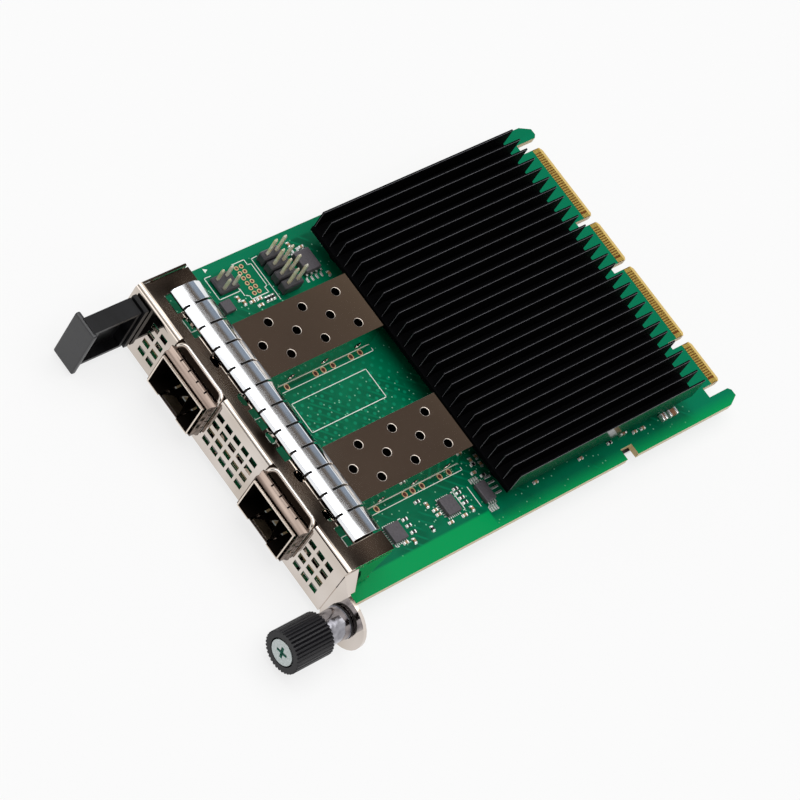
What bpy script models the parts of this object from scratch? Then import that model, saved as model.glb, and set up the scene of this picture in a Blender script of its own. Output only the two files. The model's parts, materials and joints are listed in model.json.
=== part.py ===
"""Mezzanine network card in the small form factor, with two pluggable-module cages.

Run with: blender --background --python part.py
The frame: X runs along the faceplate, from the pull tab to the thumbscrew. Y runs from the
faceplate to the edge connector. Z is up, out of the component side of the board. The origin
is the centre of the underside of the insulating film. All sizes are in metres.
"""

import math

import bmesh
import bpy
from mathutils import Matrix, Vector

# Clearance kept between two separate pieces that touch on the real card.
FIT_GAP = 0.0003

# Printed circuit board
BOARD_BEHIND_HEATSINK = 0.0145
BOARD_THICKNESS = 0.00157
CONTACT_PITCH = 0.0006
LONG_TONGUE_CONTACTS = 28
SHORT_TONGUE_CONTACTS = 14
TONGUE_SIDE_MARGIN = 0.00105
TONGUE_GAP = 0.00175
TONGUE_SETBACK = 0.0007
TONGUE_DEPTH = 0.0056
TONGUE_TIP_CHAMFER = 0.0007
TONGUE_BEVEL_LENGTH = 0.0009
TONGUE_BEVEL_DEPTH = 0.0004
EAR_SLOT_WIDTH = 0.0024
EAR_WIDTH = 0.003575
EAR_CHAMFER_X = 0.0014
EAR_CHAMFER_Y = 0.0027
NOTCH_DEPTH = 0.0026
NOTCH_FRONT = 0.0803
NOTCH_WIDTH = 0.0033

# The frame's origin, behind the board's front edge
ORIGIN_BEHIND_FRONT = 0.0560

# Insulating film under the board
FILM_THICKNESS = 0.00025
FILM_BEYOND_SCREWS = 0.0055
FILM_SETBACK = 0.0120
FILM_SIDE_INSET = 0.0020

# Faceplate, folded from sheet steel
SHEET = 0.0008
BEND_RADIUS = 0.0013
FACE_AHEAD_OF_BOARD = 0.0026
FACE_SIDE_INSET = 0.0032
FACE_LEFT_EXTRA = 0.0009
FACE_ABOVE_BOARD = 0.0115
FACE_BELOW_BOARD_TOP = 0.0033
FLANGE_DEPTH_AT_ENDS = 0.0125
FLANGE_DEPTH_AT_STRIP = 0.0106
FOOT_LENGTH = 0.0052
FOOT_FRONT = 0.0044
FOOT_DEPTH = 0.0044
FOOT_SCREW_PROUD = 0.0008
SIDE_FLANGE_EDGE = ((0.0008, 0.0082), (0.0030, 0.0079), (0.0046, 0.0045), (0.0050, 0.0007), (0.0076, 0.0007),
                    (0.0084, 0.0055), (0.0094, 0.0089))
CORNER_SLIT = 0.0004
CLIP_FRONT = 0.0022
CLIP_WIDTH = 0.0008
GUSSET_DEPTH = 0.0040
CORNER_REACH = 0.0031
EAR_RADIUS = 0.00615
EAR_SETBACK = 0.0003
VENT_PITCH = 0.0027
VENT_WIDTH = 0.0020
VENT_HEIGHT = 0.0015
VENT_ROWS = 4
VENT_BOTTOM_ROW = -0.00025
VENTS_AFTER_TAB = 0.00255
VENTS_BEFORE_LEFT_CAGE = 0.0015
VENTS_AFTER_LEFT_CAGE = 0.0008
VENTS_BEFORE_RIGHT_CAGE = 0.0015
VENTS_AFTER_RIGHT_CAGE = 0.0009
VENTS_BEFORE_SIDE = 0.0015
HUMP_CHAMFER = 0.0013
WINDOW_FRONT = 0.0010
WINDOW_DEPTH = 0.0021
WINDOW_END_INSET_LEFT = 0.0036
WINDOW_END_INSET_RIGHT = 0.0045
WINDOW_END_LENGTH = 0.0045
WINDOWS_BETWEEN = ((-0.0229, -0.0206), (-0.0028, 0.0021), (0.0064, 0.0097))
DIMPLE_FIRST_X = -0.0240
DIMPLE_PITCH = 0.00938
DIMPLE_COUNT = 6
DIMPLE_LENGTH = 0.0030
DIMPLE_WIDTH = 0.0017
DIMPLE_SETBACK = 0.0017

# Contact finger strip on the top flange
STRIP_INSET_LEFT = 0.0035
STRIP_INSET_RIGHT = 0.0047
STRIP_FINGERS = 12
FIRST_FINGER_WIDTH = 0.0045
LAST_FINGER_WIDTH = 0.0057
SLIT_WIDTH = 0.00048
STRIP_FRONT = 0.0025
STRIP_PROFILE = ((0.0, 0.0), (0.0004, 0.0007), (0.0018, 0.0008), (0.0033, 0.0008), (0.0054, 0.0006),
                 (0.0060, 0.0004), (0.0077, -0.0007), (0.0086, -0.0018))
STRIP_SHEET = 0.0002
REAR_SLIT_START = 0.0027
FRONT_SLIT_LENGTH = 0.0014

# Module cages and what is in and around them
CAGE_CENTRES_X = {"left": -0.0142, "right": 0.0164}
CAGE_WIDTH = 0.0134
CAGE_HEIGHT = 0.0091
CAGE_AHEAD_OF_FACE = 0.0035
CAGE_LENGTH = 0.0483
CAGE_WALL = 0.0003
CAGE_HOLE_DIAMETER = 0.0021
CAGE_HOLE_PITCH_Y = 0.00908
CAGE_HOLE_PITCH_X = 0.00395
CAGE_HOLE_REAR_MARGIN = 0.0047
CAGE_SIDE_HOLE_DIAMETER = 0.0018
LATCH_TAB_WIDTH = 0.0050
LATCH_TAB_LENGTH = 0.0085
LATCH_SLIT = 0.0005
LATCH_TRIANGLE = 0.0027
LATCH_TRIANGLE_SETBACK = 0.0057
LATCH_NOTCH = 0.0010
LATCH_LIP_HEIGHT = 0.0005
COLLAR_SHEET = 0.0002
COLLAR_FRONT_MARGIN = 0.0007
COLLAR_PROFILE = ((0.0, 0.0), (0.0011, 0.0), (0.0016, 0.0003), (0.0021, 0.0004), (0.0026, 0.0),
                  (0.0040, 0.0))
COLLAR_SLIT_WIDTH = 0.0003
COLLAR_SLIT_FRONT = 0.0014
COLLAR_SLIT_REAR = 0.0023
COLLAR_FINGER_X = 0.00266
COLLAR_FINGER_Z = 0.0022
SOCKET_SIDE_GAP = 0.0009
SOCKET_HEIGHT = 0.0062
SOCKET_LENGTH = 0.0098
SOCKET_MOUTH_HEIGHT = 0.0012
SOCKET_MOUTH_WALL = 0.0008
SOCKET_MOUTH_DEPTH = 0.0050

# Heatsink over the controller
FIN_COUNT = 27
FIN_PITCH = 0.002594
FIN_THICKNESS = 0.0004
FIN_HEIGHT = 0.0050
HEATSINK_CENTRE_X = -0.0002
HEATSINK_BEHIND_CAGES = 0.0032
HEATSINK_LENGTH = 0.0551
HEATSINK_BASE = 0.0012
HEATSINK_CLEAR_OF_BOARD = 0.0049
FIN_SETBACK = 0.0004
BOSS_DIAMETER = 0.0052
BOSS_INSET_X = 0.0060
BOSS_INSET_Y = 0.0060
HEATSINK_SCREW_DIAMETER = 0.0020
SCREW_BITE = 0.0030
SCREW_HEAD_DIAMETER = 0.0042
SCREW_HEAD_HEIGHT = 0.0009
PEDESTAL_SIZE = 0.0220

# Controller chip
CONTROLLER_BEHIND_HEATSINK_FRONT = 0.0276
SUBSTRATE_SIZE = 0.0270
SUBSTRATE_THICKNESS = 0.0010
LID_SIZE = 0.0240
LID_THICKNESS = 0.0016
PAD_SIZE = 0.0210
PAD_THICKNESS = 0.0005

# Pull tab
TAB_INSET = 0.0022
TAB_GRIP_WIDTH = 0.0064
TAB_GRIP_OFFSET_X = -0.0006
TAB_GRIP_BOTTOM = -0.0045
TAB_GRIP_TOP = 0.0091
TAB_GRIP_THICKNESS = 0.0012
TAB_GRIP_BEVEL = 0.0004
TAB_REACH = 0.0140
TAB_ARM_WIDTH = 0.0039
TAB_ARM_BOTTOM = -0.0028
TAB_ARM_TOP = 0.0094
TAB_BASE_THICKNESS = 0.0010
TAB_BASE_OVERHANG = 0.0005
TAB_NECK_LENGTH = 0.0003
TAB_NECK_INSET = 0.0003
TAB_POCKET_DEPTH = 0.0022
TAB_POCKET_RIM = 0.0008
TAB_SCREW_DIAMETER = 0.0014
TAB_SCREW_HEAD_DIAMETER = 0.0022
TAB_SCREW_HEIGHTS = (0.0006, 0.0064)
TAB_SCREW_BITE = 0.0018

# Captive thumbscrew
THUMBSCREW_BEYOND_FACE = 0.0050
THUMBSCREW_Z = 0.0005
THUMBSCREW_TRAVEL = 0.0035
KNOB_DIAMETER = 0.0091
KNOB_RIBS = 34
KNOB_RIB_DEPTH = 0.00035
KNOB_RIB_SHARE = 0.44
KNOB_LENGTH = 0.0094
KNOB_AHEAD_OF_FACE = 0.0152
BARREL_DIAMETER = 0.0068
BARREL_BORE = 0.0058
BARREL_OVERLAP = 0.0018
BARREL_LIP = 0.0008
BARREL_LIP_HOLE = 0.0038
BARREL_SHOULDER = 0.0005
BARREL_SHOULDER_DIAMETER = 0.0071
BARREL_FLANGE = 0.0008
BARREL_FLANGE_DIAMETER = 0.0079
SCREW_DIAMETER = 0.0028
SCREW_HEAD = 0.0056
SCREW_HEAD_GAP = 0.0003
SCREW_HEAD_LENGTH = 0.0013
SCREW_HEAD_PROUD = 0.0001
SCREW_GROOVE_DIAMETER = 0.0020
SCREW_TIP_CHAMFER = 0.0004
RECESS_WIDTH = 0.0007
RECESS_SPAN = 0.0028
RECESS_DEPTH = 0.0009
RECESS_TURN = 17
RING_THICKNESS = 0.0006
RING_OUTER = 0.0052
RING_INNER = 0.0026
SPRING_WIRE = 0.00036
SPRING_TURNS = 5
SPRING_STEPS_PER_TURN = 12

# Things soldered to the board: width in X, length in Y, height, and the place of the centre, in X
# from the board's left edge, its middle or its right edge, and in Y from the board's or the
# heatsink's front
HEADER_PIN = 0.0006
HEADER_PIN_TOP = 0.0046
HEADER_SIZE = (0.0042, 0.0052, 0.0008)
HEADER_PLACE = (0.0054, 0.0231)
HEADER_PITCH = (0.00236, 0.0025)
JUMPER_PIN_TOP = 0.0082
JUMPER_SIZE = (0.0022, 0.0050, 0.0025)
JUMPER_FIRST = (0.0042, 0.0357)
JUMPER_PITCH = 0.0025
JUMPER_COUNT = 4
CHIP_BEVEL_SHARE = 0.1
CHIPS = {
    "flash_memory_chip": ((0.0050, 0.0041, 0.0017), ("left", 0.0084), ("board", 0.0427)),
    "port_regulator_chip": ((0.0028, 0.0026, 0.0011), ("left", 0.0103), ("board", 0.0199)),
    "port_power_switch_front": ((0.0040, 0.0036, 0.0009), ("right", -0.0087), ("board", 0.0206)),
    "port_power_switch_rear": ((0.0040, 0.0036, 0.0009), ("right", -0.0086), ("board", 0.0353)),
    "identity_memory_chip": ((0.0044, 0.0027, 0.0010), ("right", -0.0077), ("board", 0.0445)),
    "clock_oscillator": ((0.0032, 0.0025, 0.0010), ("middle", -0.0200), ("heatsink", 0.0096)),
    "power_inductor_left": ((0.0064, 0.0064, 0.0031), ("middle", -0.0150), ("heatsink", 0.0496)),
    "power_inductor_middle": ((0.0064, 0.0064, 0.0031), ("middle", 0.0003), ("heatsink", 0.0496)),
    "power_inductor_right": ((0.0064, 0.0064, 0.0031), ("middle", 0.0160), ("heatsink", 0.0496)),
    "bulk_capacitor_left": ((0.0043, 0.0073, 0.0028), ("left", 0.0135), ("heatsink", 0.0266)),
    "bulk_capacitor_right": ((0.0043, 0.0073, 0.0028), ("right", -0.0130), ("heatsink", 0.0266)),
    "edge_capacitor": ((0.0016, 0.0032, 0.0016), ("right", -0.0064), ("heatsink", 0.0372)),
}

# Places worked out from the sizes above
CONTACTS = 2 * (LONG_TONGUE_CONTACTS + SHORT_TONGUE_CONTACTS)
CONNECTOR_WIDTH = CONTACTS * CONTACT_PITCH + 8 * TONGUE_SIDE_MARGIN + 3 * TONGUE_GAP
BOARD_WIDTH = CONNECTOR_WIDTH + 2 * (EAR_SLOT_WIDTH + EAR_WIDTH)
BOARD_EDGES = {"left": -BOARD_WIDTH / 2, "middle": 0.0, "right": BOARD_WIDTH / 2}
BEHIND_CAGES = CAGE_LENGTH - CAGE_AHEAD_OF_FACE - FACE_AHEAD_OF_BOARD + HEATSINK_BEHIND_CAGES
FLASH_SIZE, FLASH_ACROSS, FLASH_BACK = CHIPS["flash_memory_chip"]
BEHIND_FLASH = FLASH_BACK[1] + FLASH_SIZE[1] / 2 + FIT_GAP
HEATSINK_FRONT = max(BEHIND_CAGES, BEHIND_FLASH)
FRONTS = {"board": 0.0, "heatsink": HEATSINK_FRONT}
CONTROLLER_CENTRE_Y = HEATSINK_FRONT + CONTROLLER_BEHIND_HEATSINK_FRONT
BOARD_LENGTH = HEATSINK_FRONT + HEATSINK_LENGTH + BOARD_BEHIND_HEATSINK
FILM_LENGTH = HEATSINK_FRONT + HEATSINK_LENGTH - BOSS_INSET_Y + FILM_BEYOND_SCREWS - FILM_SETBACK
SOCKET_WIDTH = CAGE_WIDTH - 2 * (CAGE_WALL + SOCKET_SIDE_GAP)
SOCKET_MOUTH_WIDTH = SOCKET_WIDTH - 2 * SOCKET_MOUTH_WALL
FACE_HALF_WIDTH = BOARD_WIDTH / 2 - FACE_SIDE_INSET
STRIP_START_X = STRIP_INSET_LEFT - FACE_HALF_WIDTH
STRIP_END_X = FACE_HALF_WIDTH - STRIP_INSET_RIGHT
FIRST_SLIT_X = STRIP_START_X + FIRST_FINGER_WIDTH
FINGER_PITCH = (STRIP_END_X - LAST_FINGER_WIDTH - FIRST_SLIT_X) / (STRIP_FINGERS - 2)
TAB_CENTRE_X = TAB_INSET - FACE_HALF_WIDTH
THUMBSCREW_X = FACE_HALF_WIDTH + THUMBSCREW_BEYOND_FACE
BOARD_BOTTOM = FILM_THICKNESS + FIT_GAP
BOARD_TOP = BOARD_BOTTOM + BOARD_THICKNESS
BOARD_FRONT = -ORIGIN_BEHIND_FRONT
BOARD_REAR = BOARD_FRONT + BOARD_LENGTH
FACE_FRONT = BOARD_FRONT - FACE_AHEAD_OF_BOARD
FACE_BACK = FACE_FRONT + SHEET
FACE_TOP = BOARD_TOP + FACE_ABOVE_BOARD
FACE_BOTTOM = BOARD_TOP - FACE_BELOW_BOARD_TOP
FLANGE_REAR = FACE_FRONT + FLANGE_DEPTH_AT_ENDS
CAGE_FRONT = FACE_FRONT - CAGE_AHEAD_OF_FACE
CAGE_REAR = CAGE_FRONT + CAGE_LENGTH
CAGE_BOTTOM = BOARD_TOP + FIT_GAP
CAGE_TOP = CAGE_BOTTOM + CAGE_HEIGHT
OPENING_STEP = FIT_GAP + COLLAR_SHEET + FIT_GAP
COLLAR_REACH = OPENING_STEP + max(z for y, z in COLLAR_PROFILE)
BASE_BOTTOM = BOARD_TOP + HEATSINK_CLEAR_OF_BOARD
BASE_TOP = BASE_BOTTOM + HEATSINK_BASE
HEATSINK_WIDTH = (FIN_COUNT - 1) * FIN_PITCH + FIN_THICKNESS
HEATSINK_LEFT = HEATSINK_CENTRE_X - HEATSINK_WIDTH / 2
HEATSINK_REAR = HEATSINK_FRONT + HEATSINK_LENGTH
SUBSTRATE_BOTTOM = BOARD_TOP + FIT_GAP
LID_BOTTOM = SUBSTRATE_BOTTOM + SUBSTRATE_THICKNESS + FIT_GAP
PAD_BOTTOM = LID_BOTTOM + LID_THICKNESS + FIT_GAP
PEDESTAL_BOTTOM = PAD_BOTTOM + PAD_THICKNESS + FIT_GAP
FOOT_BOTTOM = BOARD_TOP + FIT_GAP
KNOB_FRONT = FACE_FRONT - KNOB_AHEAD_OF_FACE
KNOB_REAR = KNOB_FRONT + KNOB_LENGTH
BARREL_FRONT = KNOB_REAR - BARREL_OVERLAP
SCREW_AXIS = (THUMBSCREW_X, BOARD_TOP + THUMBSCREW_Z)
SCREW_HOLE_RADIUS = HEATSINK_SCREW_DIAMETER / 2 + FIT_GAP
FOOT_CENTRE_X = FACE_HALF_WIDTH - SHEET - FOOT_LENGTH / 2
FOOT_CENTRE_Y = BOARD_FRONT + FOOT_FRONT + FOOT_DEPTH / 2
HEATSINK_SCREWS = {
    "front_left": (HEATSINK_LEFT + BOSS_INSET_X, HEATSINK_FRONT + BOSS_INSET_Y),
    "front_right": (HEATSINK_LEFT + HEATSINK_WIDTH - BOSS_INSET_X, HEATSINK_FRONT + BOSS_INSET_Y),
    "rear_left": (HEATSINK_LEFT + BOSS_INSET_X, HEATSINK_REAR - BOSS_INSET_Y),
    "rear_right": (HEATSINK_LEFT + HEATSINK_WIDTH - BOSS_INSET_X, HEATSINK_REAR - BOSS_INSET_Y),
}

for old in list(bpy.data.objects):
    bpy.data.objects.remove(old, do_unlink=True)

CARD = bpy.data.collections.new("mezzanine_network_card")
CUTTERS = bpy.data.collections.new("cutters")
bpy.context.scene.collection.children.link(CARD)
bpy.context.scene.collection.children.link(CUTTERS)


def finish(name, colour, roughness, metallic=0.0):
    """A plain Principled material."""
    material = bpy.data.materials.new(name)
    material.use_nodes = True
    shader = material.node_tree.nodes["Principled BSDF"]
    shader.inputs["Base Color"].default_value = (*colour, 1.0)
    shader.inputs["Roughness"].default_value = roughness
    shader.inputs["Metallic"].default_value = metallic
    return material


def on_board(y):
    """The Y of a place measured back from the board's front edge."""
    return BOARD_FRONT + y


def add_mesh(name, mesh, colour=None, location=(0.0, 0.0, 0.0), cutter=False):
    """Put a mesh in the scene, as a part of the card or as a cutter."""
    made = bpy.data.objects.new(name, mesh)
    made.location = location
    if cutter:
        made.hide_render = True
        made.display_type = "WIRE"
        CUTTERS.objects.link(made)
    else:
        mesh.materials.append(finish(name, *colour))
        CARD.objects.link(made)
    return made


def boxes(name, spans, colour=None, cutter=False):
    """One mesh of boxes, each given by its low and high corner."""
    shape = bmesh.new()
    for low, high in spans:
        middle = (Vector(low) + Vector(high)) / 2
        size = Vector(high) - Vector(low)
        place = Matrix.Translation(middle) @ Matrix.Diagonal((*size, 1.0))
        bmesh.ops.create_cube(shape, size=1.0, matrix=place)
    mesh = bpy.data.meshes.new(name)
    shape.to_mesh(mesh)
    shape.free()
    return add_mesh(name, mesh, colour, cutter=cutter)


def rods(name, places, cutter=True, colour=None, sides=16):
    """One mesh of round rods along X, Y or Z, each a start point, an axis, a length and a radius."""
    turns = {"X": Matrix.Rotation(math.pi / 2, 4, "Y"), "Y": Matrix.Rotation(-math.pi / 2, 4, "X"),
             "Z": Matrix.Identity(4)}
    shape = bmesh.new()
    for start, axis, length, radius in places:
        turn = turns[axis]
        place = Matrix.Translation(Vector(start)) @ turn @ Matrix.Translation((0.0, 0.0, length / 2))
        bmesh.ops.create_cone(shape, cap_ends=True, segments=sides, radius1=radius, radius2=radius,
                              depth=length, matrix=place)
    mesh = bpy.data.meshes.new(name)
    shape.to_mesh(mesh)
    shape.free()
    return add_mesh(name, mesh, colour, cutter=cutter)


def extruded(name, loops, low, high, axis, colour=None, cutter=False):
    """A flat outline with holes, extruded along X, Y or Z; the loops hold the other two coordinates."""
    turns = {"X": Matrix(((0, 0, 1), (1, 0, 0), (0, 1, 0))), "Y": Matrix(((1, 0, 0), (0, 0, -1), (0, 1, 0))),
             "Z": Matrix.Identity(3)}
    outline = bpy.data.curves.new(name, "CURVE")
    outline.dimensions = "2D"
    outline.fill_mode = "BOTH"
    outline.extrude = (high - low) / 2
    for loop in loops:
        spline = outline.splines.new("POLY")
        spline.points.add(len(loop) - 1)
        for point, (u, v) in zip(spline.points, loop):
            point.co = (u, v, 0.0, 1.0)
        spline.use_cyclic_u = True
    guide = bpy.data.objects.new(name + "_outline", outline)
    bpy.context.scene.collection.objects.link(guide)
    bpy.context.view_layer.update()
    mesh = bpy.data.meshes.new_from_object(guide.evaluated_get(bpy.context.evaluated_depsgraph_get()))
    bpy.data.objects.remove(guide, do_unlink=True)
    shape = bmesh.new()
    shape.from_mesh(mesh)
    bmesh.ops.remove_doubles(shape, verts=shape.verts, dist=0.00001)
    bmesh.ops.transform(shape, matrix=turns[axis].to_4x4(), verts=shape.verts)
    bmesh.ops.recalc_face_normals(shape, faces=shape.faces)
    shape.to_mesh(mesh)
    shape.free()
    mesh.name = name
    mesh.materials.clear()
    shift = {"X": (1, 0, 0), "Y": (0, 1, 0), "Z": (0, 0, 1)}[axis]
    return add_mesh(name, mesh, colour, Vector(shift) * (low + high) / 2, cutter)


def turned(name, profile, colour=None, steps=32, cutter=False):
    """A solid turned about the thumbscrew's axis; the profile holds radius and Y, outer side falling."""
    mesh = bpy.data.meshes.new(name)
    closed = profile[0][0] > 0.0
    count = len(profile)
    edges = [(i, (i + 1) % count) for i in range(count if closed else count - 1)]
    mesh.from_pydata([(radius, 0.0, y) for radius, y in profile], edges, [])
    made = add_mesh(name, mesh, colour, (SCREW_AXIS[0], 0.0, SCREW_AXIS[1]), cutter)
    made.rotation_euler = (-math.pi / 2, 0.0, 0.0)
    screw = made.modifiers.new("turn", "SCREW")
    screw.axis = "Z"
    screw.angle = 2 * math.pi
    screw.steps = steps
    screw.render_steps = steps
    screw.use_merge_vertices = True
    screw.merge_threshold = 0.00001
    return made


def cut(part, cutter):
    """Take the cutter out of the part."""
    hollow = part.modifiers.new("cut", "BOOLEAN")
    hollow.operation = "DIFFERENCE"
    hollow.solver = "EXACT"
    hollow.object = cutter


def join(part, piece):
    """Make the piece one body with the part."""
    union = part.modifiers.new("join", "BOOLEAN")
    union.operation = "UNION"
    union.solver = "EXACT"
    union.object = piece


def soften(part, width, segments=1):
    """Round the sharp edges."""
    bevel = part.modifiers.new("soften", "BEVEL")
    bevel.width = width
    bevel.segments = segments
    bevel.limit_method = "ANGLE"
    bevel.angle_limit = math.radians(50)


def circle(centre, radius, sides=16):
    """Points of a round hole in a flat outline."""
    return [(centre[0] + radius * math.cos(2 * math.pi * i / sides),
             centre[1] + radius * math.sin(2 * math.pi * i / sides)) for i in range(sides)]


def arc(centre, radius, start, end, steps):
    """Points along an arc, from one angle to the other in degrees."""
    angles = [math.radians(start + (end - start) * i / steps) for i in range(steps + 1)]
    return [(centre[0] + radius * math.cos(a), centre[1] + radius * math.sin(a)) for a in angles]


GREEN = ((0.0, 0.16, 0.07), 0.4)
BLACK_PLASTIC = ((0.03, 0.03, 0.035), 0.5)
CHIP_BLACK = ((0.05, 0.05, 0.055), 0.55)
NICKEL = ((0.62, 0.58, 0.55), 0.25, 1.0)
DARK_NICKEL = ((0.32, 0.28, 0.25), 0.22, 1.0)
SILVER = ((0.86, 0.87, 0.88), 0.2, 1.0)
BLACK_ANODISED = ((0.02, 0.02, 0.022), 0.45, 0.6)
STEEL = ((0.6, 0.61, 0.6), 0.3, 1.0)


def tongue_spans():
    """The left and right edge of each tongue of the edge connector, from left to right."""
    counts = (LONG_TONGUE_CONTACTS, SHORT_TONGUE_CONTACTS) * 2
    widths = [count * CONTACT_PITCH + 2 * TONGUE_SIDE_MARGIN for count in counts]
    left = -(sum(widths) + 3 * TONGUE_GAP) / 2
    spans = []
    for width in widths:
        spans.append((left, left + width))
        left += width + TONGUE_GAP
    return spans


def board_outline():
    """The board's edge, anticlockwise from its front left corner."""
    half = BOARD_WIDTH / 2
    tip = BOARD_REAR - TONGUE_SETBACK
    root = tip - TONGUE_DEPTH
    spans = tongue_spans()
    slot_inner = spans[-1][1]
    slot_outer = slot_inner + EAR_SLOT_WIDTH
    notch_front = on_board(NOTCH_FRONT)
    points = [(-half, BOARD_FRONT), (half, BOARD_FRONT), (half, notch_front),
              (half - NOTCH_DEPTH, notch_front), (half - NOTCH_DEPTH, notch_front + NOTCH_WIDTH),
              (half, notch_front + NOTCH_WIDTH),
              (half, BOARD_REAR - EAR_CHAMFER_Y), (half - EAR_CHAMFER_X, BOARD_REAR),
              (slot_outer + TONGUE_TIP_CHAMFER, BOARD_REAR), (slot_outer, BOARD_REAR - TONGUE_TIP_CHAMFER)]
    for left, right in reversed(spans):
        points += [(right + (EAR_SLOT_WIDTH if right == slot_inner else TONGUE_GAP), root), (right, root),
                   (right, tip - TONGUE_TIP_CHAMFER), (right - TONGUE_TIP_CHAMFER, tip),
                   (left + TONGUE_TIP_CHAMFER, tip), (left, tip - TONGUE_TIP_CHAMFER)]
    points += [(-slot_inner, root), (-slot_outer, root), (-slot_outer, BOARD_REAR - TONGUE_TIP_CHAMFER),
               (-slot_outer - TONGUE_TIP_CHAMFER, BOARD_REAR), (-half + EAR_CHAMFER_X, BOARD_REAR),
               (-half, BOARD_REAR - EAR_CHAMFER_Y)]
    return points


def make_board():
    """The laminated board, with bevelled tongue tips and its fixing holes."""
    holes = [circle((x, on_board(y)), SCREW_HOLE_RADIUS, 12) for x, y in HEATSINK_SCREWS.values()]
    holes += [circle((side * FOOT_CENTRE_X, FOOT_CENTRE_Y), SCREW_HOLE_RADIUS, 12) for side in (-1, 1)]
    board = extruded("circuit_board", [board_outline()] + holes, BOARD_BOTTOM, BOARD_TOP, "Z", GREEN)
    tip = BOARD_REAR - TONGUE_SETBACK
    half = tongue_spans()[-1][1] + EAR_SLOT_WIDTH / 2
    for level, inward, side in ((BOARD_TOP, -1, "top"), (BOARD_BOTTOM, 1, "bottom")):
        reach = tip + TONGUE_BEVEL_LENGTH
        slope = [(tip - TONGUE_BEVEL_LENGTH, level), (reach, level + 2 * inward * TONGUE_BEVEL_DEPTH),
                 (reach, level - inward * TONGUE_BEVEL_DEPTH),
                 (tip - TONGUE_BEVEL_LENGTH, level - inward * TONGUE_BEVEL_DEPTH)]
        cut(board, extruded("tongue_bevel_" + side, [slope], -half, half, "X", cutter=True))


def vent_columns():
    """The middle of each column of vents: as many as fit beside and between the cages."""
    reach = CAGE_WIDTH / 2 + OPENING_STEP
    left, right = CAGE_CENTRES_X["left"], CAGE_CENTRES_X["right"]
    fields = (
        (TAB_CENTRE_X + TAB_ARM_WIDTH / 2 + VENTS_AFTER_TAB, left - reach - VENTS_BEFORE_LEFT_CAGE),
        (left + reach + VENTS_AFTER_LEFT_CAGE, right - reach - VENTS_BEFORE_RIGHT_CAGE),
        (right + reach + VENTS_AFTER_RIGHT_CAGE, FACE_HALF_WIDTH - SHEET - VENTS_BEFORE_SIDE))
    middles = []
    for low, high in fields:
        columns = max(0, int((high - low - VENT_WIDTH) / VENT_PITCH) + 1)
        middles += [low + VENT_WIDTH / 2 + column * VENT_PITCH for column in range(columns)]
    return middles


def make_film():
    """The insulating film, which clears the heatsink screws."""
    half = BOARD_WIDTH / 2 - FILM_SIDE_INSET
    front = on_board(FILM_SETBACK)
    outline = [(-half, front), (half, front), (half, front + FILM_LENGTH), (-half, front + FILM_LENGTH)]
    radius = SCREW_HEAD_DIAMETER / 2 + FIT_GAP
    holes = [circle((x, on_board(y)), radius) for x, y in HEATSINK_SCREWS.values()]
    extruded("insulating_film", [outline] + holes, 0.0, FILM_THICKNESS, "Z", ((0.08, 0.08, 0.08), 0.4))


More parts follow.
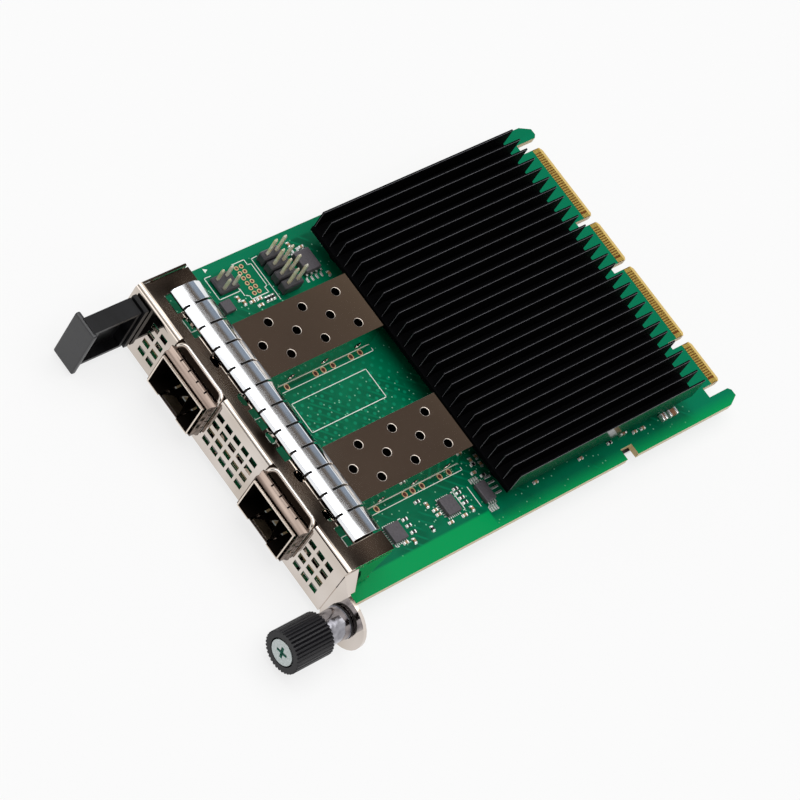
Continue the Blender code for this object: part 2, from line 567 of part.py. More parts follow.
def make_faceplate():
    """The folded faceplate: front, top flange, side flanges with feet, and the thumbscrew's ear."""
    bend = (FACE_FRONT + BEND_RADIUS, FACE_TOP - BEND_RADIUS)
    foot_front = on_board(FOOT_FRONT)
    foot_rear = foot_front + FOOT_DEPTH
    beyond = FLANGE_REAR + SHEET
    below = FACE_BOTTOM - SHEET
    left = -FACE_HALF_WIDTH - FACE_LEFT_EXTRA
    channel = [(FACE_FRONT, FACE_BOTTOM)] + arc(bend, BEND_RADIUS, 180, 90, 5)
    channel += [(FLANGE_REAR, FACE_TOP), (FLANGE_REAR, FACE_BOTTOM)]
    plate = extruded("faceplate", [channel], left, FACE_HALF_WIDTH, "X", NICKEL)
    inside = FACE_HALF_WIDTH - SHEET
    hollow = [(FACE_BACK, below)] + arc(bend, BEND_RADIUS - SHEET, 180, 90, 5)
    hollow += [(beyond, FACE_TOP - SHEET), (beyond, below)]
    cut(plate, extruded("faceplate_hollow", [hollow], left + SHEET, inside, "X", cutter=True))
    outside = FACE_HALF_WIDTH + 2 * SHEET
    relief = FACE_BACK + SHEET / 2
    edge = [(relief, below), (beyond, below), (beyond, BOARD_TOP + SIDE_FLANGE_EDGE[-1][1])]
    edge += [(on_board(y), BOARD_TOP + z) for y, z in reversed(SIDE_FLANGE_EDGE)]
    edge.append((relief, BOARD_TOP + SIDE_FLANGE_EDGE[0][1]))
    cut(plate, extruded("side_flange_edge", [edge], -outside, outside, "X", cutter=True))
    slit_top = FACE_TOP - SHEET
    clip = on_board(CLIP_FRONT)
    for name, front, rear in (("front", FACE_BACK + SHEET, clip), ("rear", clip + CLIP_WIDTH, beyond)):
        slit = ((inside - CORNER_SLIT, front, slit_top - CORNER_SLIT), (outside, rear, slit_top))
        cut(plate, boxes("corner_slit_" + name, [slit], cutter=True))
    slit = ((-FACE_HALF_WIDTH - CORNER_SLIT, FACE_BACK + SHEET, slit_top - CORNER_SLIT),
            (-FACE_HALF_WIDTH, beyond, FACE_TOP + SHEET))
    cut(plate, boxes("corner_slit_left", [slit], cutter=True))
    toe = inside - FOOT_LENGTH
    heel = FACE_HALF_WIDTH - SHEET / 8
    for name, low, high in (("left", left + SHEET / 8, -toe), ("right", toe, heel)):
        foot = ((low, foot_front, FOOT_BOTTOM), (high, foot_rear, FOOT_BOTTOM + SHEET))
        join(plate, boxes("foot_" + name, [foot], cutter=True))
    ear_root = FACE_HALF_WIDTH - SHEET / 2
    start = math.degrees(math.acos((ear_root - SCREW_AXIS[0]) / EAR_RADIUS))
    ear = arc(SCREW_AXIS, EAR_RADIUS, -start, 90, 18)
    ear += [(FACE_HALF_WIDTH + CORNER_REACH, SCREW_AXIS[1] + EAR_RADIUS), (ear_root, FACE_TOP - BEND_RADIUS)]
    join(plate, extruded("ear", [ear], FACE_FRONT + EAR_SETBACK, FACE_BACK + EAR_SETBACK, "Y", cutter=True))
    corner = (FACE_HALF_WIDTH + CORNER_REACH, SCREW_AXIS[1] + EAR_RADIUS)
    head = (ear_root, FACE_TOP - BEND_RADIUS)
    along = (Vector(head) - Vector(corner)).normalized() * SHEET
    start = Vector(corner) + along / 2
    web = [tuple(start), tuple(start + Vector((-along.y, along.x))),
           (head[0] - along.y, head[1] + along.x), head]
    gusset = extruded("gusset", [web], FACE_BACK, FACE_BACK + GUSSET_DEPTH, "Y", cutter=True)
    slope = [(corner[0] + SHEET, FACE_BACK + EAR_SETBACK + SHEET / 2), (corner[0] + SHEET, beyond),
             (head[0] - SHEET, beyond), (head[0] - SHEET, FACE_BACK + GUSSET_DEPTH)]
    cut(gusset, extruded("gusset_slope", [slope], FACE_BOTTOM, FACE_TOP + SHEET, "Z", cutter=True))
    join(plate, gusset)
    holes = []
    for x in vent_columns():
        for row in range(VENT_ROWS):
            z = BOARD_TOP + VENT_BOTTOM_ROW + row * VENT_PITCH
            holes.append(((x - VENT_WIDTH / 2, FACE_FRONT - SHEET, z - VENT_HEIGHT / 2),
                          (x + VENT_WIDTH / 2, FACE_BACK + SHEET / 2, z + VENT_HEIGHT / 2)))
    for centre in CAGE_CENTRES_X.values():
        reach = CAGE_WIDTH / 2 + OPENING_STEP
        holes.append(((centre - reach, FACE_FRONT - SHEET, CAGE_BOTTOM - OPENING_STEP),
                      (centre + reach, FACE_BACK + SHEET / 2, CAGE_TOP + OPENING_STEP)))
    front = on_board(WINDOW_FRONT)
    first = WINDOW_END_INSET_LEFT - FACE_HALF_WIDTH
    last = FACE_HALF_WIDTH - WINDOW_END_INSET_RIGHT
    ends = ((first, first + WINDOW_END_LENGTH), (last - WINDOW_END_LENGTH, last))
    for left, right in WINDOWS_BETWEEN + ends:
        holes.append(((left, front, FACE_TOP - 2 * SHEET), (right, front + WINDOW_DEPTH, FACE_TOP + SHEET)))
    holes.append(((STRIP_START_X - FIT_GAP, FACE_FRONT + FLANGE_DEPTH_AT_STRIP, FACE_TOP - 2 * SHEET),
                  (STRIP_END_X + FIT_GAP, FLANGE_REAR + SHEET, FACE_TOP + SHEET)))
    cut(plate, boxes("faceplate_openings", holes, cutter=True))
    for name, centre in CAGE_CENTRES_X.items():
        reach = CAGE_WIDTH / 2 + OPENING_STEP
        lead = [(FACE_FRONT - SHEET, FACE_TOP - HUMP_CHAMFER - SHEET),
                (FACE_FRONT + HUMP_CHAMFER + SHEET, FACE_TOP + SHEET),
                (FACE_FRONT - SHEET, FACE_TOP + SHEET)]
        cut(plate, extruded("hump_" + name, [lead], centre - reach, centre + reach, "X", cutter=True))
    dimples = []
    for i in range(DIMPLE_COUNT):
        x = DIMPLE_FIRST_X + i * DIMPLE_PITCH
        y = on_board(DIMPLE_SETBACK)
        half = (DIMPLE_LENGTH - DIMPLE_WIDTH) / 2
        dimples.append(arc((x + half, y), DIMPLE_WIDTH / 2, -90, 90, 4)
                       + arc((x - half, y), DIMPLE_WIDTH / 2, 90, 270, 4))
    cut(plate, extruded("dimples", dimples, FACE_TOP - 2 * SHEET, FACE_TOP + SHEET, "Z", cutter=True))
    drills = [((sign * FOOT_CENTRE_X, FOOT_CENTRE_Y, FOOT_BOTTOM - SHEET), "Z", 3 * SHEET, SCREW_HOLE_RADIUS)
              for sign in (-1, 1)]
    drills.append(((SCREW_AXIS[0], FACE_FRONT - SHEET, SCREW_AXIS[1]), "Y", 3 * SHEET,
                   BARREL_DIAMETER / 2 + FIT_GAP))
    for height in TAB_SCREW_HEIGHTS:
        drills.append(((TAB_CENTRE_X, FACE_FRONT - SHEET, BOARD_TOP + height), "Y", 3 * SHEET,
                       TAB_SCREW_DIAMETER / 2 + FIT_GAP))
    cut(plate, rods("faceplate_drills", drills))


def make_finger_strip():
    """The sprung contact strip: one bent ribbon, slit from both edges."""
    foot = FACE_TOP + FIT_GAP
    front = on_board(STRIP_FRONT)
    line = [(front + y, foot + z) for y, z in STRIP_PROFILE]
    under = []
    for i, (y, z) in enumerate(line):
        before = Vector(line[max(i - 1, 0)])
        after = Vector(line[min(i + 1, len(line) - 1)])
        along = (after - before).normalized()
        under.append((y + along.y * STRIP_SHEET, z - along.x * STRIP_SHEET))
    ribbon = [(y, z + STRIP_SHEET) for y, z in line]
    base = [(y, z + STRIP_SHEET) for y, z in under]
    strip = extruded("contact_finger_strip", [ribbon + base[::-1]], STRIP_START_X, STRIP_END_X, "X", SILVER)
    slits = []
    low = line[-1][1] - SHEET
    high = foot + SHEET + STRIP_PROFILE[2][1]
    for i in range(STRIP_FINGERS - 1):
        x = FIRST_SLIT_X + i * FINGER_PITCH
        near, far = x - SLIT_WIDTH / 2, x + SLIT_WIDTH / 2
        slits.append(((near, front - SHEET, low), (far, front + FRONT_SLIT_LENGTH, high)))
        slits.append(((near, front + REAR_SLIT_START, low), (far, line[-1][0] + SHEET, high)))
    cut(strip, boxes("finger_slits", slits, cutter=True))


def make_cage(side):
    """A pressed module cage with its latch tab, and the sprung collar and the socket in it."""
    centre = CAGE_CENTRES_X[side]
    half = CAGE_WIDTH / 2
    low = (centre - half, CAGE_FRONT, CAGE_BOTTOM)
    high = (centre + half, CAGE_REAR, CAGE_TOP)
    cage = boxes("module_cage_" + side, [(low, high)], DARK_NICKEL)
    inside = [((centre - half + CAGE_WALL, CAGE_FRONT - CAGE_WALL, CAGE_BOTTOM + CAGE_WALL),
               (centre + half - CAGE_WALL, CAGE_REAR - CAGE_WALL, CAGE_TOP - CAGE_WALL))]
    cut(cage, boxes("cage_inside_" + side, inside, cutter=True))
    reach = SOCKET_WIDTH / 2 + FIT_GAP
    floor = [((centre - reach, CAGE_REAR - CAGE_WALL - SOCKET_LENGTH - 2 * FIT_GAP, CAGE_BOTTOM - CAGE_WALL),
              (centre + reach, CAGE_REAR - CAGE_WALL, CAGE_BOTTOM + 2 * CAGE_WALL))]
    tab = LATCH_TAB_WIDTH / 2
    lip_rear = CAGE_FRONT + LATCH_NOTCH
    floor.append(((centre - tab - LATCH_SLIT / 2, CAGE_FRONT - CAGE_WALL, CAGE_BOTTOM - CAGE_WALL),
                  (centre + tab + LATCH_SLIT / 2, lip_rear, CAGE_BOTTOM + 2 * CAGE_WALL)))
    for sign in (-1, 1):
        near = centre + sign * tab
        far = centre + sign * (tab + LATCH_SLIT)
        floor.append(((min(near, far), CAGE_FRONT - CAGE_WALL, CAGE_BOTTOM - CAGE_WALL),
                      (max(near, far), CAGE_FRONT + LATCH_TAB_LENGTH, CAGE_BOTTOM + 2 * CAGE_WALL)))
    for index, piece in enumerate(floor):
        cut(cage, boxes("cage_floor_cut_%s_%d" % (side, index), [piece], cutter=True))
    back = CAGE_FRONT + LATCH_TRIANGLE_SETBACK
    eye = [(centre - LATCH_TRIANGLE / 2, back - LATCH_TRIANGLE),
           (centre + LATCH_TRIANGLE / 2, back - LATCH_TRIANGLE), (centre, back)]
    cut(cage, extruded("latch_eye_" + side, [eye], CAGE_BOTTOM - CAGE_WALL, CAGE_BOTTOM + 2 * CAGE_WALL, "Z",
                       cutter=True))
    lip_front = lip_rear - CAGE_WALL
    lip_low = CAGE_BOTTOM + CAGE_WALL / 4
    lip_high = CAGE_BOTTOM + LATCH_LIP_HEIGHT
    lip_back = lip_rear + CAGE_WALL
    lip = [(lip_front, lip_low), (lip_back, lip_low), (lip_back, CAGE_BOTTOM + 3 * CAGE_WALL / 4),
           (lip_rear, lip_high), (lip_front, lip_high)]
    join(cage, extruded("latch_lip_" + side, [lip], centre - tab, centre + tab, "X", cutter=True))
    drills = []
    for row in (-1, 0, 1):
        for k in range(3):
            y = CAGE_REAR - CAGE_HOLE_REAR_MARGIN - (k + (0.5 if row == 0 else 0.0)) * CAGE_HOLE_PITCH_Y
            start = (centre + row * CAGE_HOLE_PITCH_X, y, CAGE_TOP - 2 * CAGE_WALL)
            drills.append((start, "Z", 3 * CAGE_WALL, CAGE_HOLE_DIAMETER / 2))
    for k in range(4):
        y = CAGE_REAR - CAGE_HOLE_REAR_MARGIN - k * CAGE_HOLE_PITCH_Y
        start = (centre - half - CAGE_WALL, y, (CAGE_BOTTOM + CAGE_TOP) / 2)
        drills.append((start, "X", CAGE_WIDTH + 2 * CAGE_WALL, CAGE_SIDE_HOLE_DIAMETER / 2))
    cut(cage, rods("cage_holes_" + side, drills))
    make_collar(side, centre)
    make_socket(side, centre)


def make_collar(side, centre):
    """The sprung contact collar around the cage where it passes the faceplate."""
    front = CAGE_FRONT + COLLAR_FRONT_MARGIN
    rows = [(front + y, FIT_GAP + COLLAR_SHEET + z) for y, z in COLLAR_PROFILE]
    rows += [(front + y, FIT_GAP + z) for y, z in reversed(COLLAR_PROFILE)]
    points = []
    for y, offset in rows:
        half = CAGE_WIDTH / 2 + offset
        low = CAGE_BOTTOM - offset
        high = CAGE_TOP + offset
        left, right = centre - half, centre + half
        points += [(left, y, low), (right, y, low), (right, y, high), (left, y, high)]
    faces = []
    for i in range(len(rows)):
        here = 4 * i
        after = 4 * ((i + 1) % len(rows))
        faces += [(here + k, here + (k + 1) % 4, after + (k + 1) % 4, after + k) for k in range(4)]
    mesh = bpy.data.meshes.new("cage_collar_" + side)
    mesh.from_pydata(points, [], [face[::-1] for face in faces])
    collar = add_mesh("cage_collar_" + side, mesh, SILVER)
    slits = []
    wall = CAGE_WIDTH / 2
    reach = wall + COLLAR_REACH
    middle = (CAGE_BOTTOM + CAGE_TOP) / 2
    rim = CAGE_HEIGHT / 2 + COLLAR_REACH
    slit_front = front + COLLAR_SLIT_FRONT
    slit_rear = front + COLLAR_SLIT_REAR
    for i in (-1.5, -0.5, 0.5, 1.5):
        x = centre + i * COLLAR_FINGER_X
        for low, high in ((middle - rim, CAGE_BOTTOM), (CAGE_TOP, middle + rim)):
            slits.append(((x - COLLAR_SLIT_WIDTH / 2, slit_front, low),
                          (x + COLLAR_SLIT_WIDTH / 2, slit_rear, high)))
    for i in (-1, 0, 1):
        z = middle + i * COLLAR_FINGER_Z
        for low, high in ((centre - reach, centre - wall), (centre + wall, centre + reach)):
            slits.append(((low, slit_front, z - COLLAR_SLIT_WIDTH / 2),
                          (high, slit_rear, z + COLLAR_SLIT_WIDTH / 2)))
    cut(collar, boxes("collar_slits_" + side, slits, cutter=True))


def make_socket(side, centre):
    """The board socket at the back of the cage, which takes the module's own edge."""
    rear = CAGE_REAR - CAGE_WALL - FIT_GAP
    front = rear - SOCKET_LENGTH
    bottom = BOARD_TOP + FIT_GAP
    low = (centre - SOCKET_WIDTH / 2, front, bottom)
    high = (centre + SOCKET_WIDTH / 2, rear, bottom + SOCKET_HEIGHT)
    socket = boxes("module_socket_" + side, [(low, high)], BLACK_PLASTIC)
    middle = bottom + SOCKET_HEIGHT / 2
    reach = SOCKET_MOUTH_WIDTH / 2
    rise = SOCKET_MOUTH_HEIGHT / 2
    mouth = ((centre - reach, front - CAGE_WALL, middle - rise),
             (centre + reach, front + SOCKET_MOUTH_DEPTH, middle + rise))
    cut(socket, boxes("socket_mouth_" + side, [mouth], cutter=True))


def make_heatsink():
    """The finned heatsink, with its pedestal and four screw bosses."""
    comb = [(HEATSINK_LEFT, BASE_BOTTOM), (HEATSINK_LEFT + HEATSINK_WIDTH, BASE_BOTTOM)]
    fin_top = BASE_TOP + FIN_HEIGHT
    for i in reversed(range(FIN_COUNT)):
        left = HEATSINK_LEFT + i * FIN_PITCH
        right = left + FIN_THICKNESS
        comb += [(right, BASE_TOP), (right, fin_top), (left, fin_top), (left, BASE_TOP)]
    comb = comb[:2] + comb[3:-1]
    front = on_board(HEATSINK_FRONT)
    rear = on_board(HEATSINK_REAR)
    sink = extruded("heatsink", [comb], front, rear, "Y", BLACK_ANODISED)
    step = [((HEATSINK_LEFT - FIN_PITCH, front - FIN_PITCH, BASE_TOP),
             (HEATSINK_LEFT + HEATSINK_WIDTH + FIN_PITCH, front + FIN_SETBACK, fin_top + FIN_PITCH))]
    cut(sink, boxes("fin_setback", step, cutter=True))
    half = PEDESTAL_SIZE / 2
    centre = on_board(CONTROLLER_CENTRE_Y)
    inside_base = BASE_BOTTOM + HEATSINK_BASE / 2
    pedestal = [((-half, centre - half, PEDESTAL_BOTTOM), (half, centre + half, inside_base))]
    join(sink, boxes("pedestal", pedestal, cutter=True))
    foot = BOARD_TOP + FIT_GAP
    bosses = [((x, on_board(y), foot), "Z", inside_base - foot, BOSS_DIAMETER / 2)
              for x, y in HEATSINK_SCREWS.values()]
    join(sink, rods("bosses", bosses))
    taps = [((x, on_board(y), foot - SHEET), "Z", SHEET + SCREW_BITE + FIT_GAP, SCREW_HOLE_RADIUS)
            for x, y in HEATSINK_SCREWS.values()]
    cut(sink, rods("boss_holes", taps, sides=12))
    for name, (x, y) in HEATSINK_SCREWS.items():
        make_board_screw("heatsink_screw_" + name, x, on_board(y), foot + SCREW_BITE)


def make_board_screw(name, x, y, tip):
    """A pan-head screw driven up through the board."""
    head_top = BOARD_BOTTOM - FIT_GAP
    head = ((x, y, head_top - SCREW_HEAD_HEIGHT), "Z", SCREW_HEAD_HEIGHT, SCREW_HEAD_DIAMETER / 2)
    screw = rods(name, [head], cutter=False, colour=STEEL)
    start = head_top - SCREW_HEAD_HEIGHT / 2
    join(screw, rods(name + "_shank", [((x, y, start), "Z", tip - start, HEATSINK_SCREW_DIAMETER / 2)]))


def make_controller():
    """The network controller under the heatsink: substrate, lid and thermal pad."""
    centre = on_board(CONTROLLER_CENTRE_Y)
    layers = (("controller_substrate", SUBSTRATE_SIZE, SUBSTRATE_BOTTOM, SUBSTRATE_THICKNESS, GREEN),
              ("controller_lid", LID_SIZE, LID_BOTTOM, LID_THICKNESS, SILVER),
              ("thermal_pad", PAD_SIZE, PAD_BOTTOM, PAD_THICKNESS, ((0.45, 0.5, 0.55), 0.8)))
    for name, size, bottom, thickness, colour in layers:
        half = size / 2
        boxes(name, [((-half, centre - half, bottom), (half, centre + half, bottom + thickness))], colour)


def make_pull_tab():
    """The moulded pull tab, and the two screws that hold it from behind the faceplate."""
    base_rear = FACE_FRONT - FIT_GAP
    base_front = base_rear - TAB_BASE_THICKNESS
    grip_front = FACE_FRONT - TAB_REACH
    grip_rear = grip_front + TAB_GRIP_THICKNESS
    half = TAB_ARM_WIDTH / 2
    low = BOARD_TOP + TAB_ARM_BOTTOM
    high = BOARD_TOP + TAB_ARM_TOP
    base = ((TAB_CENTRE_X - half, base_front, low),
            (TAB_CENTRE_X + half + TAB_BASE_OVERHANG, base_rear, high + TAB_BASE_OVERHANG))
    tab = boxes("pull_tab", [base], BLACK_PLASTIC)
    inset = TAB_NECK_INSET
    arm_rear = base_front - TAB_NECK_LENGTH
    neck = ((TAB_CENTRE_X - half + inset, arm_rear - inset, low + inset),
            (TAB_CENTRE_X + half - inset, base_front + inset, high - inset))
    join(tab, boxes("tab_neck", [neck], cutter=True))
    join(tab, boxes("tab_arm", [((TAB_CENTRE_X - half, grip_front + TAB_GRIP_THICKNESS / 2, low),
                                 (TAB_CENTRE_X + half, arm_rear, high))], cutter=True))
    middle = TAB_CENTRE_X + TAB_GRIP_OFFSET_X
    span = ((middle - TAB_GRIP_WIDTH / 2, grip_front, BOARD_TOP + TAB_GRIP_BOTTOM),
            (middle + TAB_GRIP_WIDTH / 2, grip_rear, BOARD_TOP + TAB_GRIP_TOP))
    grip = boxes("tab_grip", [span], cutter=True)
    soften(grip, TAB_GRIP_BEVEL, 2)
    join(tab, grip)
    rim = TAB_POCKET_RIM
    pocket = ((TAB_CENTRE_X + half - TAB_POCKET_DEPTH, grip_rear + rim, low + rim),
              (TAB_CENTRE_X + half + rim, arm_rear - rim, high - rim))
    cut(tab, boxes("tab_pocket", [pocket], cutter=True))
    radius = TAB_SCREW_DIAMETER / 2
    taps = [((TAB_CENTRE_X, base_rear - TAB_SCREW_BITE - FIT_GAP / 2, BOARD_TOP + height), "Y",
             TAB_SCREW_BITE + FIT_GAP, radius + FIT_GAP) for height in TAB_SCREW_HEIGHTS]
    cut(tab, rods("tab_screw_holes", taps, sides=12))
    for name, height in zip(("lower", "upper"), TAB_SCREW_HEIGHTS):
        z = BOARD_TOP + height
        head = FACE_BACK + FIT_GAP
        pan = ((TAB_CENTRE_X, head, z), "Y", SCREW_HEAD_HEIGHT, TAB_SCREW_HEAD_DIAMETER / 2)
        screw = rods("pull_tab_screw_" + name, [pan], cutter=False, colour=STEEL)
        start = base_rear - TAB_SCREW_BITE
        shank = ((TAB_CENTRE_X, start, z), "Y", head + SCREW_HEAD_HEIGHT / 2 - start, radius)
        join(screw, rods("tab_shank_" + name, [shank]))


def knurled(radius):
    """The knob's ribbed outline in X and Z."""
    half_rib = KNOB_RIB_SHARE / 2
    points = []
    for i in range(KNOB_RIBS):
        for share, inset in ((0.0, KNOB_RIB_DEPTH), (0.5 - half_rib, 0.0), (0.5 + half_rib, 0.0)):
            angle = 2 * math.pi * (i + share) / KNOB_RIBS
            reach = radius - inset
            points.append((SCREW_AXIS[0] + reach * math.cos(angle), SCREW_AXIS[1] + reach * math.sin(angle)))
    return points


def make_thumbscrew():
    """The captive thumbscrew: barrel, spring, retaining ring, screw and knob."""
    flange_front = FACE_BACK + EAR_SETBACK + FIT_GAP
    flange_rear = flange_front + BARREL_FLANGE
    shoulder_rear = FACE_FRONT + EAR_SETBACK - FIT_GAP
    shoulder_front = shoulder_rear - BARREL_SHOULDER
    barrel = BARREL_DIAMETER / 2
    bore = BARREL_BORE / 2
    hole = BARREL_LIP_HOLE / 2
    seat = flange_rear - BARREL_LIP
    flange = BARREL_FLANGE_DIAMETER / 2
    shoulder = BARREL_SHOULDER_DIAMETER / 2
    turned("thumbscrew_barrel", [
        (hole, flange_rear), (flange, flange_rear), (flange, flange_front), (barrel, flange_front),
        (barrel, shoulder_rear), (shoulder, shoulder_rear), (shoulder, shoulder_front),
        (barrel, shoulder_front), (barrel, BARREL_FRONT), (hole, BARREL_FRONT),
        (hole, BARREL_FRONT + BARREL_LIP), (bore, BARREL_FRONT + BARREL_LIP), (bore, seat), (hole, seat)],
        SILVER)
    shank = SCREW_DIAMETER / 2
    ring_front = BARREL_FRONT + BARREL_LIP + FIT_GAP
    ring_rear = ring_front + RING_THICKNESS
    groove = SCREW_GROOVE_DIAMETER / 2
    head_front = KNOB_FRONT - SCREW_HEAD_PROUD
    head_rear = head_front + SCREW_HEAD_LENGTH
    tip = flange_rear
    head = SCREW_HEAD / 2
    screw = turned("thumbscrew_screw", [
        (0.0, tip), (shank - SCREW_TIP_CHAMFER, tip), (shank, tip - SCREW_TIP_CHAMFER),
        (shank, ring_rear + FIT_GAP), (groove, ring_rear + FIT_GAP), (groove, ring_front - FIT_GAP),
        (shank, ring_front - FIT_GAP), (shank, head_rear), (head, head_rear), (head, head_front),
        (0.0, head_front)], STEEL)
    x, z = SCREW_AXIS
    long_half = RECESS_SPAN / 2
    thin_half = RECESS_WIDTH / 2
    cross = []
    for quarter in range(4):
        turn = math.radians(RECESS_TURN + 90 * quarter)
        for u, v in ((thin_half, thin_half), (thin_half, long_half), (-thin_half, long_half)):
            cross.append((x + u * math.cos(turn) - v * math.sin(turn),
                          z + u * math.sin(turn) + v * math.cos(turn)))
    cut(screw, extruded("driver_recess", [cross], head_front - RECESS_DEPTH, head_front + RECESS_DEPTH, "Y",
                        cutter=True))
    inner = RING_INNER / 2
    outer = RING_OUTER / 2
    section = [(inner, ring_rear), (outer, ring_rear), (outer, ring_front), (inner, ring_front)]
    turned("thumbscrew_ring", section, STEEL)
    knob = extruded("thumbscrew_knob", [knurled(KNOB_DIAMETER / 2), circle(SCREW_AXIS, shank + FIT_GAP, 24)],
                    KNOB_FRONT, KNOB_REAR, "Y", BLACK_PLASTIC)
    skirt = BARREL_OVERLAP + THUMBSCREW_TRAVEL + 2 * FIT_GAP
    skirt_bore = ((x, KNOB_REAR - skirt, z), "Y", skirt + KNOB_RIB_DEPTH, barrel + FIT_GAP)
    cut(knob, rods("knob_skirt", [skirt_bore], sides=32))
    recess = SCREW_HEAD_LENGTH - SCREW_HEAD_PROUD + FIT_GAP
    head_bore = ((x, KNOB_FRONT - KNOB_RIB_DEPTH, z), "Y", recess + KNOB_RIB_DEPTH, head + SCREW_HEAD_GAP)
    cut(knob, rods("knob_recess", [head_bore], sides=32))
    make_spring(ring_rear + FIT_GAP, seat - FIT_GAP, (shank + bore) / 2)


def make_spring(front, rear, radius):
    """The coil spring between the retaining ring and the barrel's rear lip."""
    coil = bpy.data.curves.new("thumbscrew_spring", "CURVE")
    coil.dimensions = "3D"
    coil.bevel_depth = SPRING_WIRE / 2
    coil.bevel_resolution = 1
    coil.use_fill_caps = True
    spline = coil.splines.new("POLY")
    steps = SPRING_TURNS * SPRING_STEPS_PER_TURN
    spline.points.add(steps)
    start = front + SPRING_WIRE / 2
    end = rear - SPRING_WIRE / 2
    for i, point in enumerate(spline.points):
        angle = 2 * math.pi * i / SPRING_STEPS_PER_TURN
        y = start + (end - start) * i / steps
        point.co = (radius * math.cos(angle), y, radius * math.sin(angle), 1.0)
    spring = bpy.data.objects.new("thumbscrew_spring", coil)
    spring.location = (SCREW_AXIS[0], 0.0, SCREW_AXIS[1])
    coil.materials.append(finish("thumbscrew_spring", *STEEL))
    CARD.objects.link(spring)


def make_headers():
    """The four-pin header and the row of two-pin headers, each moulded round its pins."""
    width, length, height = HEADER_SIZE
    x, y = BOARD_EDGES["left"] + HEADER_PLACE[0], on_board(HEADER_PLACE[1])
    bottom = BOARD_TOP + FIT_GAP
    top = bottom + height
    body = ((x - width / 2, y - length / 2, bottom), (x + width / 2, y + length / 2, top))
    header = boxes("debug_pin_header", [body], BLACK_PLASTIC)
    pin = HEADER_PIN / 2
    pins = []
    for column in (-0.5, 0.5):
        for row in (-0.5, 0.5):
            px = x + column * HEADER_PITCH[0]
            py = y + row * HEADER_PITCH[1]
            pins.append(((px - pin, py - pin, bottom + height / 2),
                         (px + pin, py + pin, BOARD_TOP + HEADER_PIN_TOP)))
    join(header, boxes("debug_pins", pins, cutter=True))
    width, length, height = JUMPER_SIZE
    for i in range(JUMPER_COUNT):
        x = BOARD_EDGES["left"] + JUMPER_FIRST[0] + i * JUMPER_PITCH
        y = on_board(JUMPER_FIRST[1])
        body = ((x - width / 2, y - length / 2, bottom), (x + width / 2, y + length / 2, bottom + height))
        block = boxes("jumper_header_%d" % (i + 1), [body], BLACK_PLASTIC)
        pins = []
        for py in (y - JUMPER_PITCH / 2, y + JUMPER_PITCH / 2):
            pins.append(((x - pin, py - pin, bottom + height / 2),
                         (x + pin, py + pin, BOARD_TOP + JUMPER_PIN_TOP)))
        join(block, boxes("jumper_pins_%d" % (i + 1), pins, cutter=True))


def make_chips():
    """The larger things soldered to the board."""
    for name, ((width, length, height), (edge, across), (front, back)) in CHIPS.items():
        bottom = BOARD_TOP + FIT_GAP
        x = BOARD_EDGES[edge] + across
        y = on_board(FRONTS[front] + back)
        body = ((x - width / 2, y - length / 2, bottom), (x + width / 2, y + length / 2, bottom + height))
        chip = boxes(name, [body], CHIP_BLACK)
        soften(chip, height * CHIP_BEVEL_SHARE)


make_board()
make_film()
make_faceplate()
make_finger_strip()
make_cage("left")
make_cage("right")
make_heatsink()
for label, sign in (("left", -1), ("right", 1)):
    make_board_screw("faceplate_screw_" + label, sign * FOOT_CENTRE_X, FOOT_CENTRE_Y,
                     FOOT_BOTTOM + SHEET + FOOT_SCREW_PROUD)
make_controller()
make_pull_tab()
make_thumbscrew()
make_headers()
make_chips()
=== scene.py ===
"""The looks of a small form factor mezzanine network card.

Each section below is one piece of the card, or one group of like pieces, in the order in which
the card is put together. Sizes are in metres, but names that end in MM hold millimetres. Places on
the board are in millimetres from the middle of its front edge, as a board drawing gives them.
"""
import json
import math

import bpy
from mathutils import Matrix, Vector


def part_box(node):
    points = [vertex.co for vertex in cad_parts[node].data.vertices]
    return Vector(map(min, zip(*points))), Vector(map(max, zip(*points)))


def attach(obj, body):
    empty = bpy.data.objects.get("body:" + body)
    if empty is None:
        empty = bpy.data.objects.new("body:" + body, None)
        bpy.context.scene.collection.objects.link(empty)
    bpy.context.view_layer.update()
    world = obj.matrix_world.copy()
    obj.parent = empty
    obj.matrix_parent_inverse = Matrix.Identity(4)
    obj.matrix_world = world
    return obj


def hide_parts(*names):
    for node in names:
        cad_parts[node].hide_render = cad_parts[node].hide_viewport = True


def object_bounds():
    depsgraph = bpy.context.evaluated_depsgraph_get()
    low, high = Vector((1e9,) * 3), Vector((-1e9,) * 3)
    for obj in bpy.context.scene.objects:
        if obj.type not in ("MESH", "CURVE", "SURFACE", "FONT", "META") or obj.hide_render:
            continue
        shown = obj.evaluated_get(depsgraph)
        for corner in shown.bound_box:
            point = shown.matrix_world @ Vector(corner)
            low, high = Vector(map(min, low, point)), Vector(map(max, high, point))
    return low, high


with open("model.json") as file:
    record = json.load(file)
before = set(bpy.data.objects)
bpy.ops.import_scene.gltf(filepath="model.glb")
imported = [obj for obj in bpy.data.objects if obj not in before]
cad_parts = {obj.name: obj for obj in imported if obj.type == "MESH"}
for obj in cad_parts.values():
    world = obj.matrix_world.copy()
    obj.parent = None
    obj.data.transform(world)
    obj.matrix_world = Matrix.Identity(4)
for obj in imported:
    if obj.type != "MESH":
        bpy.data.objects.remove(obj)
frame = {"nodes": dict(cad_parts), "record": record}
cad_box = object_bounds()

